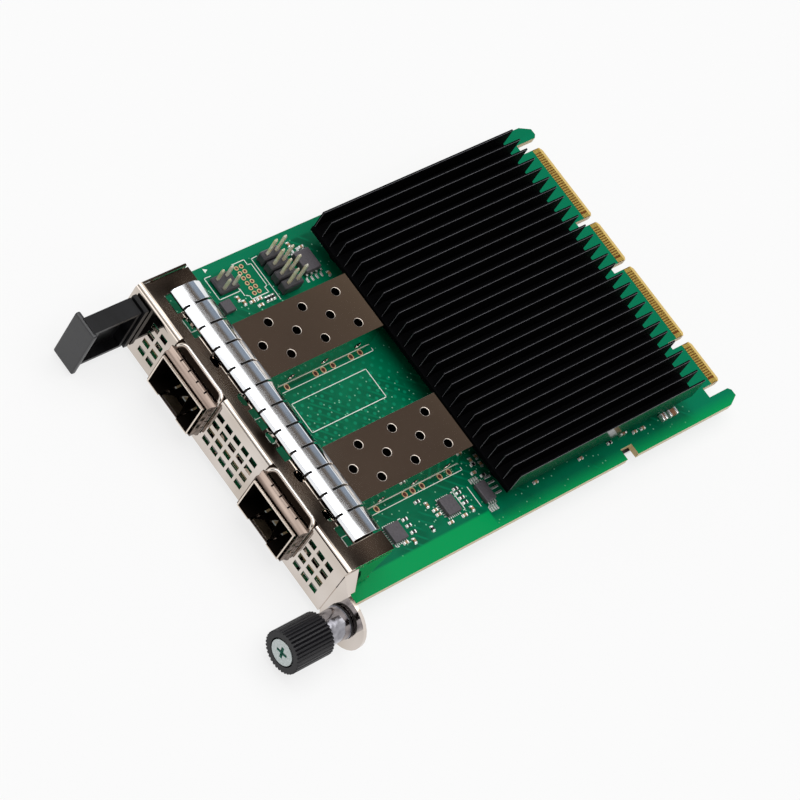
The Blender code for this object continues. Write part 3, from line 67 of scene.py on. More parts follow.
# The camera
# A long lens, turned about its own axis, as the card is shown from above its thumbscrew corner.
LENS = 166.98
CAMERA_AIM = Vector((0.0045, -0.0126, 0.0))
CAMERA_DISTANCE = 0.7459
CAMERA_TURN = math.radians(21.08)
CAMERA_HEIGHT = math.radians(49.49)
CAMERA_ROLL = math.radians(37.07)
CAMERA_NEAR = 0.01
toward_camera = Vector((math.sin(CAMERA_TURN) * math.cos(CAMERA_HEIGHT),
                        -math.cos(CAMERA_TURN) * math.cos(CAMERA_HEIGHT), math.sin(CAMERA_HEIGHT)))
lens = bpy.data.cameras.new("camera")
lens.lens = LENS
lens.clip_start = CAMERA_NEAR
camera = bpy.data.objects.new("camera", lens)
bpy.context.scene.collection.objects.link(camera)
stand = Matrix.Translation(CAMERA_AIM + toward_camera * CAMERA_DISTANCE)
camera.matrix_world = (stand @ toward_camera.to_track_quat("Z", "Y").to_matrix().to_4x4()
                       @ Matrix.Rotation(CAMERA_ROLL, 4, "Z"))
bpy.context.scene.camera = camera
bpy.context.scene.view_settings.view_transform = "Standard"

# The studio
# A white table under one wide overhead softbox, in an even room. Polished tops mirror a tall card
# behind the object, dark brown above and blue-grey below, and their bent edges a dark card in front.
FLOOR_SIZE = 6.0
FLOOR_DROP = 0.0002
FLOOR_WHITE = "#F2F2F2"
ROOM_LIGHT = 0.34
SOFTBOX_PLACE = (0.0, 0.05, 1.0)
SOFTBOX_SIZE = 1.16
SOFTBOX_POWER = 8.6
FILL_PLACE = (-0.5, -0.9, 0.35)
FILL_SIZE = 0.5
FILL_POWER = 0.7
CARD_DISTANCE = 1.2
CARD_WIDTH = 2.8
REAR_CARD_MIDDLE = math.radians(39.0)
REAR_CARD_HEIGHT = 0.84
REAR_CARD_FOOT = "#8F9AA8"
REAR_CARD_BAND = "#6A5F54"
REAR_CARD_TOP = "#524943"
BAND_EDGE = (0.63, 0.07)
TOP_EDGE = (0.76, 0.07)
FRONT_CARD_MIDDLE = math.radians(38.0)
FRONT_CARD_HEIGHT = 0.5
FRONT_CARD_COLOUR = "#211B17"
SHADOW_SHARE = 0.22
# Under the card's footprint the table's glow is cut down: a painted shadow.
PAINTED_SHADOW_UNDER_CARD = (-0.0375, 0.0350, -0.0560, 0.0540)
UNDER_CARD_FADE = 0.001
UNDER_CARD_FRONT_FADE = 0.0004
PAINTED_SHADOW_GLOW_SHARE = 0.1


def linear(code):
    """A hex colour as Blender's linear colour."""
    shares = [int(code[i:i + 2], 16) / 255 for i in (1, 3, 5)]
    return (*[s / 12.92 if s <= 0.04045 else ((s + 0.055) / 1.055) ** 2.4 for s in shares], 1.0)


def add_node(tree, kind, inputs=None, output=0, **settings):
    """Add a shader node with its settings and inputs, each a value, a hex colour or a socket."""
    node = tree.nodes.new(kind)
    for name, value in settings.items():
        setattr(node, name, value)
    for key, value in (inputs or {}).items():
        if isinstance(value, bpy.types.NodeSocket):
            tree.links.new(value, node.inputs[key])
        else:
            node.inputs[key].default_value = linear(value) if isinstance(value, str) else value
    return node.outputs[output] if node.outputs else None


def within(tree, *edges):
    """1 where each value is past its edge and else 0, with a fade; a fade below 0 turns it round."""
    share = 1.0
    for value, edge, fade in edges:
        rise = add_node(tree, "ShaderNodeMapRange",
                        {"Value": value, "From Min": edge - fade / 2, "From Max": edge + fade / 2})
        share = add_node(tree, "ShaderNodeMath", {0: share, 1: rise}, operation="MULTIPLY")
    return share


def lay(tree, under, over, *edges):
    """Lay one colour over another within some edges."""
    return add_node(tree, "ShaderNodeMix", {0: within(tree, *edges), 6: under, 7: over}, 2,
                    data_type="RGBA")


def seen_directly(tree):
    """1 for rays from the camera or off metal and glass, and 0 for the light that falls."""
    share = 0.0
    for ray in ("Is Camera Ray", "Is Glossy Ray", "Is Transmission Ray"):
        kind = add_node(tree, "ShaderNodeLightPath", output=ray)
        share = add_node(tree, "ShaderNodeMath", {0: share, 1: kind}, operation="MAXIMUM")
    return share


room = bpy.data.worlds.new("white_room")
bpy.context.scene.world = room
room.use_nodes = True
backdrop = room.node_tree.nodes["Background"]
backdrop.inputs["Color"].default_value = (1.0, 1.0, 1.0, 1.0)
level = add_node(room.node_tree, "ShaderNodeMapRange",
                 {"Value": seen_directly(room.node_tree), "To Min": ROOM_LIGHT, "To Max": 1.0})
room.node_tree.links.new(level, backdrop.inputs["Strength"])

bpy.ops.object.select_all(action="DESELECT")
bpy.ops.mesh.primitive_grid_add(x_subdivisions=2, y_subdivisions=2, size=FLOOR_SIZE,
                                location=(0.0, 0.0, cad_box[0][2] - FLOOR_DROP))
floor = bpy.context.active_object
floor.name = "table"
paint = bpy.data.materials.new("white_table")
paint.use_nodes = True
tree = paint.node_tree
tree.nodes.remove(tree.nodes["Principled BSDF"])
matt = add_node(tree, "ShaderNodeBsdfDiffuse", {"Color": FLOOR_WHITE})
glow = add_node(tree, "ShaderNodeEmission", {"Color": "#FFFFFF", "Strength": 1.0})
spot = add_node(tree, "ShaderNodeTexCoord", output="Object")
spot_x = add_node(tree, "ShaderNodeSeparateXYZ", {0: spot}, "X")
spot_y = add_node(tree, "ShaderNodeSeparateXYZ", {0: spot}, "Y")
# A painted shadow: inside the card's footprint the table's glow falls to a low share.
left, right, front, rear = PAINTED_SHADOW_UNDER_CARD
under = within(tree, (spot_x, left, UNDER_CARD_FADE), (spot_x, right, -UNDER_CARD_FADE),
               (spot_y, front, UNDER_CARD_FRONT_FADE), (spot_y, rear, -UNDER_CARD_FADE))
open_share = add_node(tree, "ShaderNodeMapRange",
                      {"Value": under, "To Min": 1.0 - SHADOW_SHARE, "To Max": PAINTED_SHADOW_GLOW_SHARE})
share = add_node(tree, "ShaderNodeMath", {0: seen_directly(tree), 1: open_share}, operation="MULTIPLY")
add_node(tree, "ShaderNodeMixShader", {0: share, 1: matt, 2: glow})
tree.links.new(tree.nodes["Mix Shader"].outputs[0], tree.nodes["Material Output"].inputs["Surface"])
floor.data.materials.append(paint)


def hang_card(name, way, middle, height):
    """A wide card that faces the object and lights nothing; gives its tree and its height, 0 to 1."""
    centre = way * math.cos(middle)
    centre.z = math.sin(middle)
    bpy.ops.mesh.primitive_plane_add(size=1.0, location=centre * CARD_DISTANCE)
    card = bpy.context.active_object
    card.name = name
    card.rotation_euler = centre.to_track_quat("Z", "Y").to_euler()
    card.scale = (CARD_WIDTH, height, 1.0)
    card.visible_camera = False
    card.visible_diffuse = False
    card.visible_shadow = False
    felt = bpy.data.materials.new(name + "_felt")
    felt.use_nodes = True
    felt.node_tree.nodes.remove(felt.node_tree.nodes["Principled BSDF"])
    card.data.materials.append(felt)
    corner = add_node(felt.node_tree, "ShaderNodeTexCoord", output="UV")
    return felt.node_tree, add_node(felt.node_tree, "ShaderNodeSeparateXYZ", {0: corner}, "Y")


ahead = Vector((-toward_camera.x, -toward_camera.y, 0.0)).normalized()
tree, up = hang_card("rear_card", ahead, REAR_CARD_MIDDLE, REAR_CARD_HEIGHT)
colour = lay(tree, REAR_CARD_FOOT, REAR_CARD_BAND, (up, *BAND_EDGE))
colour = lay(tree, colour, REAR_CARD_TOP, (up, *TOP_EDGE))
glow = add_node(tree, "ShaderNodeEmission", {"Color": colour, "Strength": 1.0})
tree.links.new(glow, tree.nodes["Material Output"].inputs["Surface"])
tree, up = hang_card("front_card", -ahead, FRONT_CARD_MIDDLE, FRONT_CARD_HEIGHT)
glow = add_node(tree, "ShaderNodeEmission", {"Color": FRONT_CARD_COLOUR, "Strength": 1.0})
tree.links.new(glow, tree.nodes["Material Output"].inputs["Surface"])

for lamp_name, place, size, power in (("softbox", SOFTBOX_PLACE, SOFTBOX_SIZE, SOFTBOX_POWER),
                                      ("fill", FILL_PLACE, FILL_SIZE, FILL_POWER)):
    light = bpy.data.lights.new(lamp_name, "AREA")
    light.size = size
    light.energy = power
    lamp = bpy.data.objects.new(lamp_name, light)
    lamp.location = place
    lamp.rotation_euler = Vector(place).to_track_quat("Z", "Y").to_euler()
    bpy.context.scene.collection.objects.link(lamp)

# The circuit board
# Glass cloth and epoxy laminate with copper on both faces, under a satin green solder mask that is
# printed and baked on. The mask is lighter where no copper lies under it, along the edges.
MM = 0.001
board_low, board_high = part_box("circuit_board")
BOARD_TOP = board_high[2]
BOARD_BOTTOM = board_low[2]
BOARD_FRONT = board_low[1]
MASK_OVER_COPPER = "#006F4C"
MASK_DEEP = "#005F41"
MASK_OVER_TRACE = "#007853"
MASK_AT_REAR = "#007B56"
MASK_BARE = "#009A55"
MASK_DOT = "#078560"
LAMINATE = "#E2CFA6"
LAMINATE_THREAD = "#CFB684"
BARE_TONGUE = "#6E431B"
TONGUE_TIP = "#DDBD6C"
VIA_TINT = "#7FC2A4"
BARE_EDGE_LEFT_MM = -35.6
BARE_EDGE_RIGHT_MM = 33.9
BARE_EDGE_RIGHT_REAR_MM = 36.4
BARE_STEP_MM = 43.0
BARE_FADE_MM = 0.5
BARE_REAR_FADE_MM = 2.6
EAR_INNER_MM = 33.2
EAR_FADE_MM = 0.1
REAR_ZONE_MM = (101.5, 3.0)
DOT_ZONE_MM = (-5.6, 8.6, 14.0, 45.0)
DOT_ZONE_FADE_MM = 0.6
MASK_END_MM = 111.45
TONGUE_TIP_MM = 113.25
TONGUE_FADE_MM = 0.04
POUR_SIZE_MM = 9.0
DEEP_POUR = (0.52, 0.16)
TRACED_POUR = (0.56, 0.08)
VIA_POUR = (0.47, 0.05)
REAR_POUR = (0.2, 0.5)
TRACE_PITCH_MM = 6.0
TRACE_BAND = (0.86, 0.2)
DOT_PITCH_MM = 1.9
DOT_RADIUS_MM = 0.38
DOT_FADE = 0.12
VIA_PITCH_MM = 2.3
VIA_RADIUS_MM = 0.15
VIA_FADE = 0.03
CLOTH_PITCH_MM = 0.9
CLOTH_BAND = (0.5, 1.0)
CUT_EDGE = (0.5, 0.2)
WEAVE_SIZE_MM = 0.5
MASK_GLOSS = (0.18, 0.28)
MASK_RIPPLE_MM = 0.01
LIE_DIAGONAL = (0.0, 0.0, math.radians(45.0))


def start_material(name, colour, metallic, roughness, specular=0.5):
    """A Principled material with its plain values set, its shader, and its Object coordinates."""
    material = bpy.data.materials.new(name)
    material.use_nodes = True
    shader = material.node_tree.nodes["Principled BSDF"]
    shader.inputs["Base Color"].default_value = linear(colour)
    shader.inputs["Metallic"].default_value = metallic
    shader.inputs["Roughness"].default_value = roughness
    shader.inputs["Specular IOR Level"].default_value = specular
    return material, shader, add_node(material.node_tree, "ShaderNodeTexCoord", output="Object")


# The mask is a thin clear green: deeper over copper, with soft flecks where it fills the vias,
# which are drawn wider apart than they are so that they show. The cut edges show the cream laminate.
mask, shader, place = start_material("baked_solder_mask_on_glass_epoxy", MASK_OVER_COPPER, 0.0, 0.24,
                                     0.1)
tree = mask.node_tree
across = add_node(tree, "ShaderNodeMapRange", {
    "Value": add_node(tree, "ShaderNodeSeparateXYZ", {0: place}, "X"), "From Min": 0.0, "From Max": MM},
    clamp=False)
along = add_node(tree, "ShaderNodeMapRange", {
    "Value": add_node(tree, "ShaderNodeSeparateXYZ", {0: place}, "Y"), "From Min": BOARD_FRONT,
    "From Max": BOARD_FRONT + MM}, clamp=False)
pour = add_node(tree, "ShaderNodeTexNoise",
                {"Vector": place, "Scale": 1 / (POUR_SIZE_MM * MM), "Detail": 3.0})
diagonal = add_node(tree, "ShaderNodeMapping", {"Vector": place, "Rotation": LIE_DIAGONAL})
trace = add_node(tree, "ShaderNodeTexWave",
                 {"Vector": diagonal, "Scale": 1 / (TRACE_PITCH_MM * MM), "Distortion": 1.5,
                  "Detail": 1.0}, "Fac")
colour = lay(tree, MASK_OVER_COPPER, MASK_DEEP, (pour, *DEEP_POUR))
colour = lay(tree, colour, MASK_OVER_TRACE, (trace, *TRACE_BAND), (pour, *TRACED_POUR))
flat = add_node(tree, "ShaderNodeVectorMath", {0: diagonal, 1: (1.0, 1.0, 0.0)}, operation="MULTIPLY")
dot = add_node(tree, "ShaderNodeTexVoronoi",
               {"Vector": flat, "Scale": 1 / (DOT_PITCH_MM * MM), "Randomness": 0.0}, "Distance",
               voronoi_dimensions="2D")
left, right, front, rear = DOT_ZONE_MM
colour = lay(tree, colour, MASK_DOT, (dot, DOT_RADIUS_MM / DOT_PITCH_MM, -DOT_FADE),
             (across, left, DOT_ZONE_FADE_MM), (across, right, -DOT_ZONE_FADE_MM),
             (along, front, DOT_ZONE_FADE_MM), (along, rear, -DOT_ZONE_FADE_MM))
via = add_node(tree, "ShaderNodeTexVoronoi", {"Vector": place, "Scale": 1 / (VIA_PITCH_MM * MM)},
               "Distance", voronoi_dimensions="2D")
colour = lay(tree, colour, VIA_TINT, (via, VIA_RADIUS_MM / VIA_PITCH_MM, -VIA_FADE), (pour, *VIA_POUR))
colour = lay(tree, colour, MASK_AT_REAR, (along, *REAR_ZONE_MM), (pour, *REAR_POUR))
colour = lay(tree, colour, MASK_OVER_TRACE, (across, BARE_EDGE_LEFT_MM, -BARE_FADE_MM))
colour = lay(tree, colour, MASK_BARE, (across, BARE_EDGE_RIGHT_MM, BARE_FADE_MM),
             (along, BARE_STEP_MM, -BARE_FADE_MM))
colour = lay(tree, colour, MASK_BARE, (across, BARE_EDGE_RIGHT_REAR_MM, BARE_REAR_FADE_MM))
ear = add_node(tree, "ShaderNodeMath", {0: across}, operation="ABSOLUTE")
colour = lay(tree, colour, BARE_TONGUE, (along, MASK_END_MM, TONGUE_FADE_MM),
             (ear, EAR_INNER_MM, -EAR_FADE_MM))
colour = lay(tree, colour, TONGUE_TIP, (along, TONGUE_TIP_MM, TONGUE_FADE_MM),
             (ear, EAR_INNER_MM, -EAR_FADE_MM))
cloth = add_node(tree, "ShaderNodeTexWave",
                 {"Vector": place, "Scale": 1 / (CLOTH_PITCH_MM * MM), "Distortion": 0.6}, "Fac",
                 bands_direction="Z")
edge_colour = lay(tree, LAMINATE, LAMINATE_THREAD, (cloth, *CLOTH_BAND))
way = add_node(tree, "ShaderNodeNewGeometry", output="Normal")
facing = add_node(tree, "ShaderNodeSeparateXYZ", {0: way}, "Z")
upright = add_node(tree, "ShaderNodeMath", {0: facing}, operation="ABSOLUTE")
colour = lay(tree, edge_colour, colour, (upright, *CUT_EDGE))
tree.links.new(colour, shader.inputs["Base Color"])
weave = add_node(tree, "ShaderNodeTexNoise",
                 {"Vector": place, "Scale": 1 / (WEAVE_SIZE_MM * MM), "Detail": 2.0})
gloss = add_node(tree, "ShaderNodeMapRange",
                 {"Value": weave, "To Min": MASK_GLOSS[0], "To Max": MASK_GLOSS[1]})
tree.links.new(gloss, shader.inputs["Roughness"])
ripple = add_node(tree, "ShaderNodeBump",
                  {"Height": weave, "Strength": 0.35, "Distance": MASK_RIPPLE_MM * MM})
tree.links.new(ripple, shader.inputs["Normal"])
board = frame["nodes"]["circuit_board"]
board.data.materials.clear()
board.data.materials.append(mask)

# The gold contacts of the edge connector
# Copper lands under hard gold plate, on both faces of the four tongues. Their gaps show the bare
# brown laminate, and the tips of the tongues are bevelled past the ends of the lands.
TONGUE_CONTACTS = (28, 14, 28, 14)
CONTACT_PITCH_MM = 0.6
TONGUE_MARGIN_MM = 1.05
TONGUE_GAP_MM = 1.75
FIRST_GAP_MM = 1.19
GAP_WIDTH_MM = 0.24
LAND_INSET_MM = 0.12
LAND_THICKNESS_MM = 0.03


def alone(piece):
    """Select one piece alone and make it active."""
    bpy.ops.object.select_all(action="DESELECT")
    piece.select_set(True)
    bpy.context.view_layer.objects.active = piece


def round_edges(piece, radius, segments=2, sharp=35.0):
    """Round every sharp edge to a radius, and keep the flat faces flat in shading."""
    alone(piece)
    bevel = piece.modifiers.new("rounding", "BEVEL")
    bevel.width = radius
    bevel.segments = segments
    bevel.limit_method = "ANGLE"
    bevel.angle_limit = math.radians(sharp)
    bpy.ops.object.modifier_apply(modifier="rounding")
    bpy.ops.object.shade_smooth_by_angle(angle=math.radians(sharp))
    weigh = piece.modifiers.new("flat_faces", "WEIGHTED_NORMAL")
    weigh.keep_sharp = True
    bpy.ops.object.modifier_apply(modifier="flat_faces")


def block(low, high, radius=0.0, segments=2):
    """A block between two corners, with rounded edges."""
    size = Vector(high) - Vector(low)
    bpy.ops.object.select_all(action="DESELECT")
    bpy.ops.mesh.primitive_cube_add(size=1.0, location=(Vector(low) + Vector(high)) / 2, scale=size)
    bpy.ops.object.transform_apply(location=True, rotation=True, scale=True)
    piece = bpy.context.active_object
    if radius:
        round_edges(piece, radius, segments)
    return piece


def join(pieces):
    """Make several pieces one."""
    bpy.ops.object.select_all(action="DESELECT")
    for piece in pieces:
        piece.select_set(True)
    bpy.context.view_layer.objects.active = pieces[0]
    bpy.ops.object.join()
    return pieces[0]


def repeat(piece, offsets):
    """Copies of a piece at each offset, each with its own mesh, made one; the first piece goes."""
    copies = []
    for offset in offsets:
        twin = piece.copy()
        twin.data = piece.data.copy()
        twin.data.transform(Matrix.Translation(offset))
        bpy.context.scene.collection.objects.link(twin)
        copies.append(twin)
    bpy.data.objects.remove(piece)
    return join(copies)


def on_board(x, y, above=0.0):
    """A place in the frame, from board drawing millimetres."""
    return Vector((x * MM, BOARD_FRONT + y * MM, BOARD_TOP + above * MM))


def grain(material, shader, place, size, tones, gloss, depth, stretch=(1.0, 1.0, 1.0), detail=4.0):
    """Let colour, gloss and height follow one pattern of a real grain size."""
    tree = material.node_tree
    drawn = add_node(tree, "ShaderNodeMapping", {"Vector": place, "Scale": stretch})
    noise = add_node(tree, "ShaderNodeTexNoise", {"Vector": drawn, "Scale": 1 / size, "Detail": detail})
    tree.links.new(lay(tree, tones[0], tones[1], (noise, 0.5, 0.5)), shader.inputs["Base Color"])
    shine = add_node(tree, "ShaderNodeMapRange",
                     {"Value": noise, "From Min": 0.25, "From Max": 0.75,
                      "To Min": gloss[0], "To Max": gloss[1]})
    tree.links.new(shine, shader.inputs["Roughness"])
    bump = add_node(tree, "ShaderNodeBump", {"Height": noise, "Strength": 1.0, "Distance": depth})
    tree.links.new(bump, shader.inputs["Normal"])
    return material


node_body = {node: body for body, nodes in frame["record"]["behaviour"]["bodies"].items()
             for node in nodes}


def dress(piece, name, materials, node, stands_for=True):
    """Name a piece, give it its materials, and let it ride and count as a node does."""
    piece.name = name
    piece.data.name = name
    if materials:
        piece.data.materials.clear()
        for material in materials:
            piece.data.materials.append(material)
    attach(piece, node_body[node])
    if stands_for:
        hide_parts(node)
    return piece


# Hard gold over nickel: a pale yellow metal with a slight haze.
gold = grain(*start_material("hard_gold_plate", "#E0BE62", 1.0, 0.3), 0.6 * MM, ("#E3C36B", "#D2AC50"),
             (0.24, 0.36), 0.000001)
widths = [count * CONTACT_PITCH_MM + 2 * TONGUE_MARGIN_MM for count in TONGUE_CONTACTS]
tongue_left = -(sum(widths) + 3 * TONGUE_GAP_MM) / 2
land_half = (CONTACT_PITCH_MM - GAP_WIDTH_MM) / 2
end_land = FIRST_GAP_MM - GAP_WIDTH_MM / 2
lands = []
for count, width in zip(TONGUE_CONTACTS, widths):
    first = tongue_left + FIRST_GAP_MM + CONTACT_PITCH_MM / 2
    for face, top in ((BOARD_TOP, 1), (BOARD_BOTTOM, -1)):
        low_z = min(face, face + top * LAND_THICKNESS_MM * MM)
        level = Vector((0.0, 0.0, low_z - BOARD_TOP))
        land = block(on_board(-land_half, MASK_END_MM),
                     on_board(land_half, TONGUE_TIP_MM, LAND_THICKNESS_MM))
        shifts = [(first + k * CONTACT_PITCH_MM) * MM for k in range(count - 1)]
        lands.append(repeat(land, [Vector((shift, 0.0, 0.0)) + level for shift in shifts]))
        end = block(on_board(LAND_INSET_MM, MASK_END_MM),
                    on_board(end_land, TONGUE_TIP_MM, LAND_THICKNESS_MM))
        shifts = (tongue_left * MM, (tongue_left + width - end_land - LAND_INSET_MM) * MM)
        lands.append(repeat(end, [Vector((shift, 0.0, 0.0)) + level for shift in shifts]))
    tongue_left += width + TONGUE_GAP_MM
dress(join(lands), "gold_contacts", [gold], "circuit_board", False)

# The plated holes
# Drilled holes with copper barrels and tinned rims: twelve for an unfitted header, and six for
# each row of press-fit pins beside the module cages.
RIM_RISE_MM = 0.05
RIM_SINK_MM = 0.04
SPARE_HOLE_MM = (0.5, 0.3)
SPARE_HOLE_COLUMNS_MM = (-34.7, -33.43, -32.16, -30.89, -29.62, -28.35)
SPARE_HOLE_ROWS_MM = (28.1, 29.4)
PRESS_FIT_HOLE_MM = (0.6, 0.4)
PRESS_FIT_ROWS_MM = (20.7, 28.45, 30.6, 33.2, 38.15, 40.7)
PRESS_FIT_GAP_MM = 0.12
# Copper with a wipe of tin: a pale, warm ring that catches the light.
copper = grain(*start_material("tinned_copper_rim", "#CFB48C", 0.6, 0.35), 0.5 * MM,
               ("#D8C29C", "#BD9A6C"), (0.3, 0.42), 0.000002)
# The inside of a hole in shade: dull and dark red-brown.
bore = grain(*start_material("shaded_hole", "#5A2012", 0.0, 0.6), 0.4 * MM, ("#6B2614", "#3A120A"),
             (0.5, 0.7), 0.000001)


def eyelet(radius, hole):
    """A plated hole at the board's front middle: a rim whose inner face is sunk and dark."""
    bpy.ops.object.select_all(action="DESELECT")
    bpy.ops.mesh.primitive_cylinder_add(vertices=20, radius=radius * MM, depth=RIM_RISE_MM * MM,
                                        location=on_board(0, 0, RIM_RISE_MM / 2))
    bpy.ops.object.transform_apply(location=True)
    rim = bpy.context.active_object
    rim.data.materials.append(copper)
    rim.data.materials.append(bore)
    bpy.ops.object.mode_set(mode="EDIT")
    bpy.ops.mesh.select_all(action="DESELECT")
    bpy.ops.object.mode_set(mode="OBJECT")
    for face in rim.data.polygons:
        face.select = face.normal.z > 0.9
    bpy.ops.object.mode_set(mode="EDIT")
    bpy.ops.mesh.inset(thickness=(radius - hole) * MM)
    bpy.ops.mesh.extrude_region_move(TRANSFORM_OT_translate={"value": (0.0, 0.0, -RIM_SINK_MM * MM)})
    rim.active_material_index = 1
    bpy.ops.object.material_slot_assign()
    bpy.ops.object.mode_set(mode="OBJECT")
    return rim


spare = [on_board(x, y) - on_board(0, 0) for y in SPARE_HOLE_ROWS_MM for x in SPARE_HOLE_COLUMNS_MM]
dress(repeat(eyelet(*SPARE_HOLE_MM), spare), "spare_header_holes", None, "circuit_board", False)
cage_walls = [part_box("module_cage_" + side)[1][0] / MM + PRESS_FIT_GAP_MM for side in ("left", "right")]
rows = [on_board(x, y) - on_board(0, 0) for x in cage_walls for y in PRESS_FIT_ROWS_MM]
dress(repeat(eyelet(*PRESS_FIT_HOLE_MM), rows), "press_fit_holes", None, "circuit_board", False)

# The printed outlines
# White epoxy ink, screened on the mask in thin lines: where the headers, the chips and the cages
# go, a blank box for a label, and an arrow at the corner.
INK_WIDTH_MM = 0.17
INK_RISE_MM = 0.02
ARROW_RADIUS_MM = 0.62
ARROW_AT_MM = (-37.0, 21.4)
INK_LINES_MM = (
    ((-35.45, 21.7), (-35.5, 20.05), (-30.0, 20.05), (-30.0, 25.6), (-30.6, 25.6)),
    ((-30.4, 25.75), (-28.7, 25.75)),
    ((-35.8, 27.7), (-35.8, 30.95), (-34.5, 30.95), (-34.4, 31.85), (-28.8, 31.85), (-28.6, 31.1),
     (-27.35, 31.25), (-27.35, 26.75), (-28.2, 26.75), (-28.6, 26.1)),
    ((-35.4, 34.1), (-35.3, 32.6), (-24.9, 32.6)),
    ((-6.7, 19.0), (-6.7, 43.8), (-7.3, 43.8)), ((23.9, 19.0), (23.9, 43.8), (23.3, 43.8)),
    ((-3.85, 19.1), (-3.85, 39.4), (3.3, 39.4), (3.3, 19.1), (-3.85, 19.1)),
    ((27.0, 23.9), (27.0, 23.3)), ((31.3, 19.2), (31.9, 19.2), (31.9, 19.8)),
    ((32.2, 33.4), (32.2, 34.1)), ((27.0, 38.0), (27.0, 38.5), (31.4, 38.5), (31.4, 38.1)),
    ((27.6, 42.2), (32.3, 42.2)), ((27.8, 46.4), (30.2, 46.4)),
    ((-4.2, 9.4), (1.8, 9.4), (1.8, 12.0), (-4.2, 12.0), (-4.2, 9.4)), ((-1.2, 9.4), (-1.2, 12.0)),
    ((25.0, 9.6), (29.8, 9.6), (29.8, 12.0), (25.0, 12.0), (25.0, 9.6)), ((27.4, 9.6), (27.4, 12.0)),
    ((-30.6, 9.6), (-26.2, 9.6), (-26.2, 12.0), (-30.6, 12.0), (-30.6, 9.6)),
)
# Baked epoxy ink: a flat, faintly green white without gloss.
ink = grain(*start_material("white_epoxy_ink", "#EEF4EE", 0.0, 0.55), 0.3 * MM, ("#F2F6F1", "#DDE9E1"),
            (0.5, 0.65), 0.000003)
strokes = []
for line in INK_LINES_MM:
    for start, end in zip(line, line[1:]):
        start_point, end_point = on_board(*start), on_board(*end)
        run = end_point - start_point
        half = INK_WIDTH_MM * MM / 2
        stroke = block((-half, -half, 0.0), (run.length + half, half, INK_RISE_MM * MM))
        turn = Matrix.Rotation(math.atan2(run.y, run.x), 4, "Z")
        stroke.data.transform(Matrix.Translation(start_point) @ turn)
        strokes.append(stroke)
bpy.ops.object.select_all(action="DESELECT")
bpy.ops.mesh.primitive_cylinder_add(vertices=3, radius=ARROW_RADIUS_MM * MM, depth=INK_RISE_MM * MM,
                                    location=on_board(*ARROW_AT_MM, INK_RISE_MM / 2))
bpy.ops.object.transform_apply(location=True)
strokes.append(bpy.context.active_object)
dress(join(strokes), "printed_outlines", [ink], "circuit_board", False)

# The insulating film
# Black polyester film, die cut and stuck under the board so that its solder can't touch the tray.

# Polyester film: near black, with a soft satin sheen.
film = grain(*start_material("black_polyester_film", "#1A1A1D", 0.0, 0.35), 1.2 * MM,
             ("#1B1B1E", "#242427"), (0.3, 0.42), 0.00001)


def take_node(node, name, radius, materials, segments=2, sharp=35.0):
    """A piece in a node's place: the node's form, merged, with its sharp edges rounded."""
    piece = bpy.data.objects.new(name, frame["nodes"][node].data.copy())
    bpy.context.scene.collection.objects.link(piece)
    alone(piece)
    bpy.ops.object.mode_set(mode="EDIT")
    bpy.ops.mesh.select_all(action="SELECT")
    bpy.ops.mesh.remove_doubles(threshold=0.000002)
    bpy.ops.mesh.dissolve_limited(angle_limit=math.radians(0.5))
    bpy.ops.object.mode_set(mode="OBJECT")
    round_edges(piece, radius, segments, sharp)
    return dress(piece, name, materials, node)


take_node("insulating_film", "film_sheet", 0.05 * MM, [film], 1)

# The faceplate
# Cold-rolled steel sheet, pierced and folded on a press and then nickel plated. Its two hoods have
# rolled rear edges, and it is screwed down through the feet that it folds in over the board.
CAGE_CENTRES_MM = (-14.2, 16.4)
HOOD_TOP_MM = 11.5
ROLL_RADIUS_MM = 0.42
ROLL_PATH_MM = ((7.05, -2.62, -2.2), (7.0, -2.5, -1.5), (6.85, -2.2, -0.95), (6.55, -1.85, -0.6),
                (6.1, -1.55, -0.42), (5.5, -1.4, -0.36))
# Bright nickel: a slightly warm mirror with hardly any blur, and waves as wide as a pressed sheet's.
nickel = grain(*start_material("bright_nickel_plate", "#D3C9C1", 1.0, 0.04), 8 * MM,
               ("#DAD1CA", "#C8BDB2"), (0.03, 0.05), 0.00002, detail=0.0)
# The same plate on its upward faces, with the dim room's reflection painted into its colour as soft brown
# clouds.
nickel_with_painted_reflection = grain(*start_material("nickel_top_with_painted_reflection", "#C4BAB0", 1.0, 0.05), 6 * MM,
                ("#DCD0C2", "#3A322C"), (0.04, 0.06), 0.00001, stretch=(0.7, 1.0, 1.0), detail=0.0)
plate = take_node("faceplate", "folded_faceplate", 0.3 * MM, [nickel, nickel_with_painted_reflection], 3)
# Upward faces take the copy with painted reflection.
for face in plate.data.polygons:
    if face.normal.z > 0.97:
        face.material_index = 1
rolls = []
for centre_x in CAGE_CENTRES_MM:
    roll = bpy.data.curves.new("roll", "CURVE")
    roll.dimensions = "3D"
    roll.bevel_depth = ROLL_RADIUS_MM * MM
    roll.bevel_resolution = 3
    roll.use_fill_caps = True
    line = roll.splines.new("POLY")
    line.points.add(2 * len(ROLL_PATH_MM) - 1)
    path = [(-x, y, z) for x, y, z in ROLL_PATH_MM] + list(reversed(ROLL_PATH_MM))
    for point, (x, y, z) in zip(line.points, path):
        point.co = (*on_board(centre_x + x, y, HOOD_TOP_MM + z), 1.0)
    rolled = bpy.data.objects.new("roll", roll)
    bpy.context.scene.collection.objects.link(rolled)
    alone(rolled)
    bpy.ops.object.convert(target="MESH")
    rolled = bpy.context.active_object
    bpy.ops.object.shade_smooth_by_angle(angle=math.radians(60.0))
    rolls.append(rolled)
dress(join(rolls), "rolled_hood_edges", [nickel], "faceplate", False)

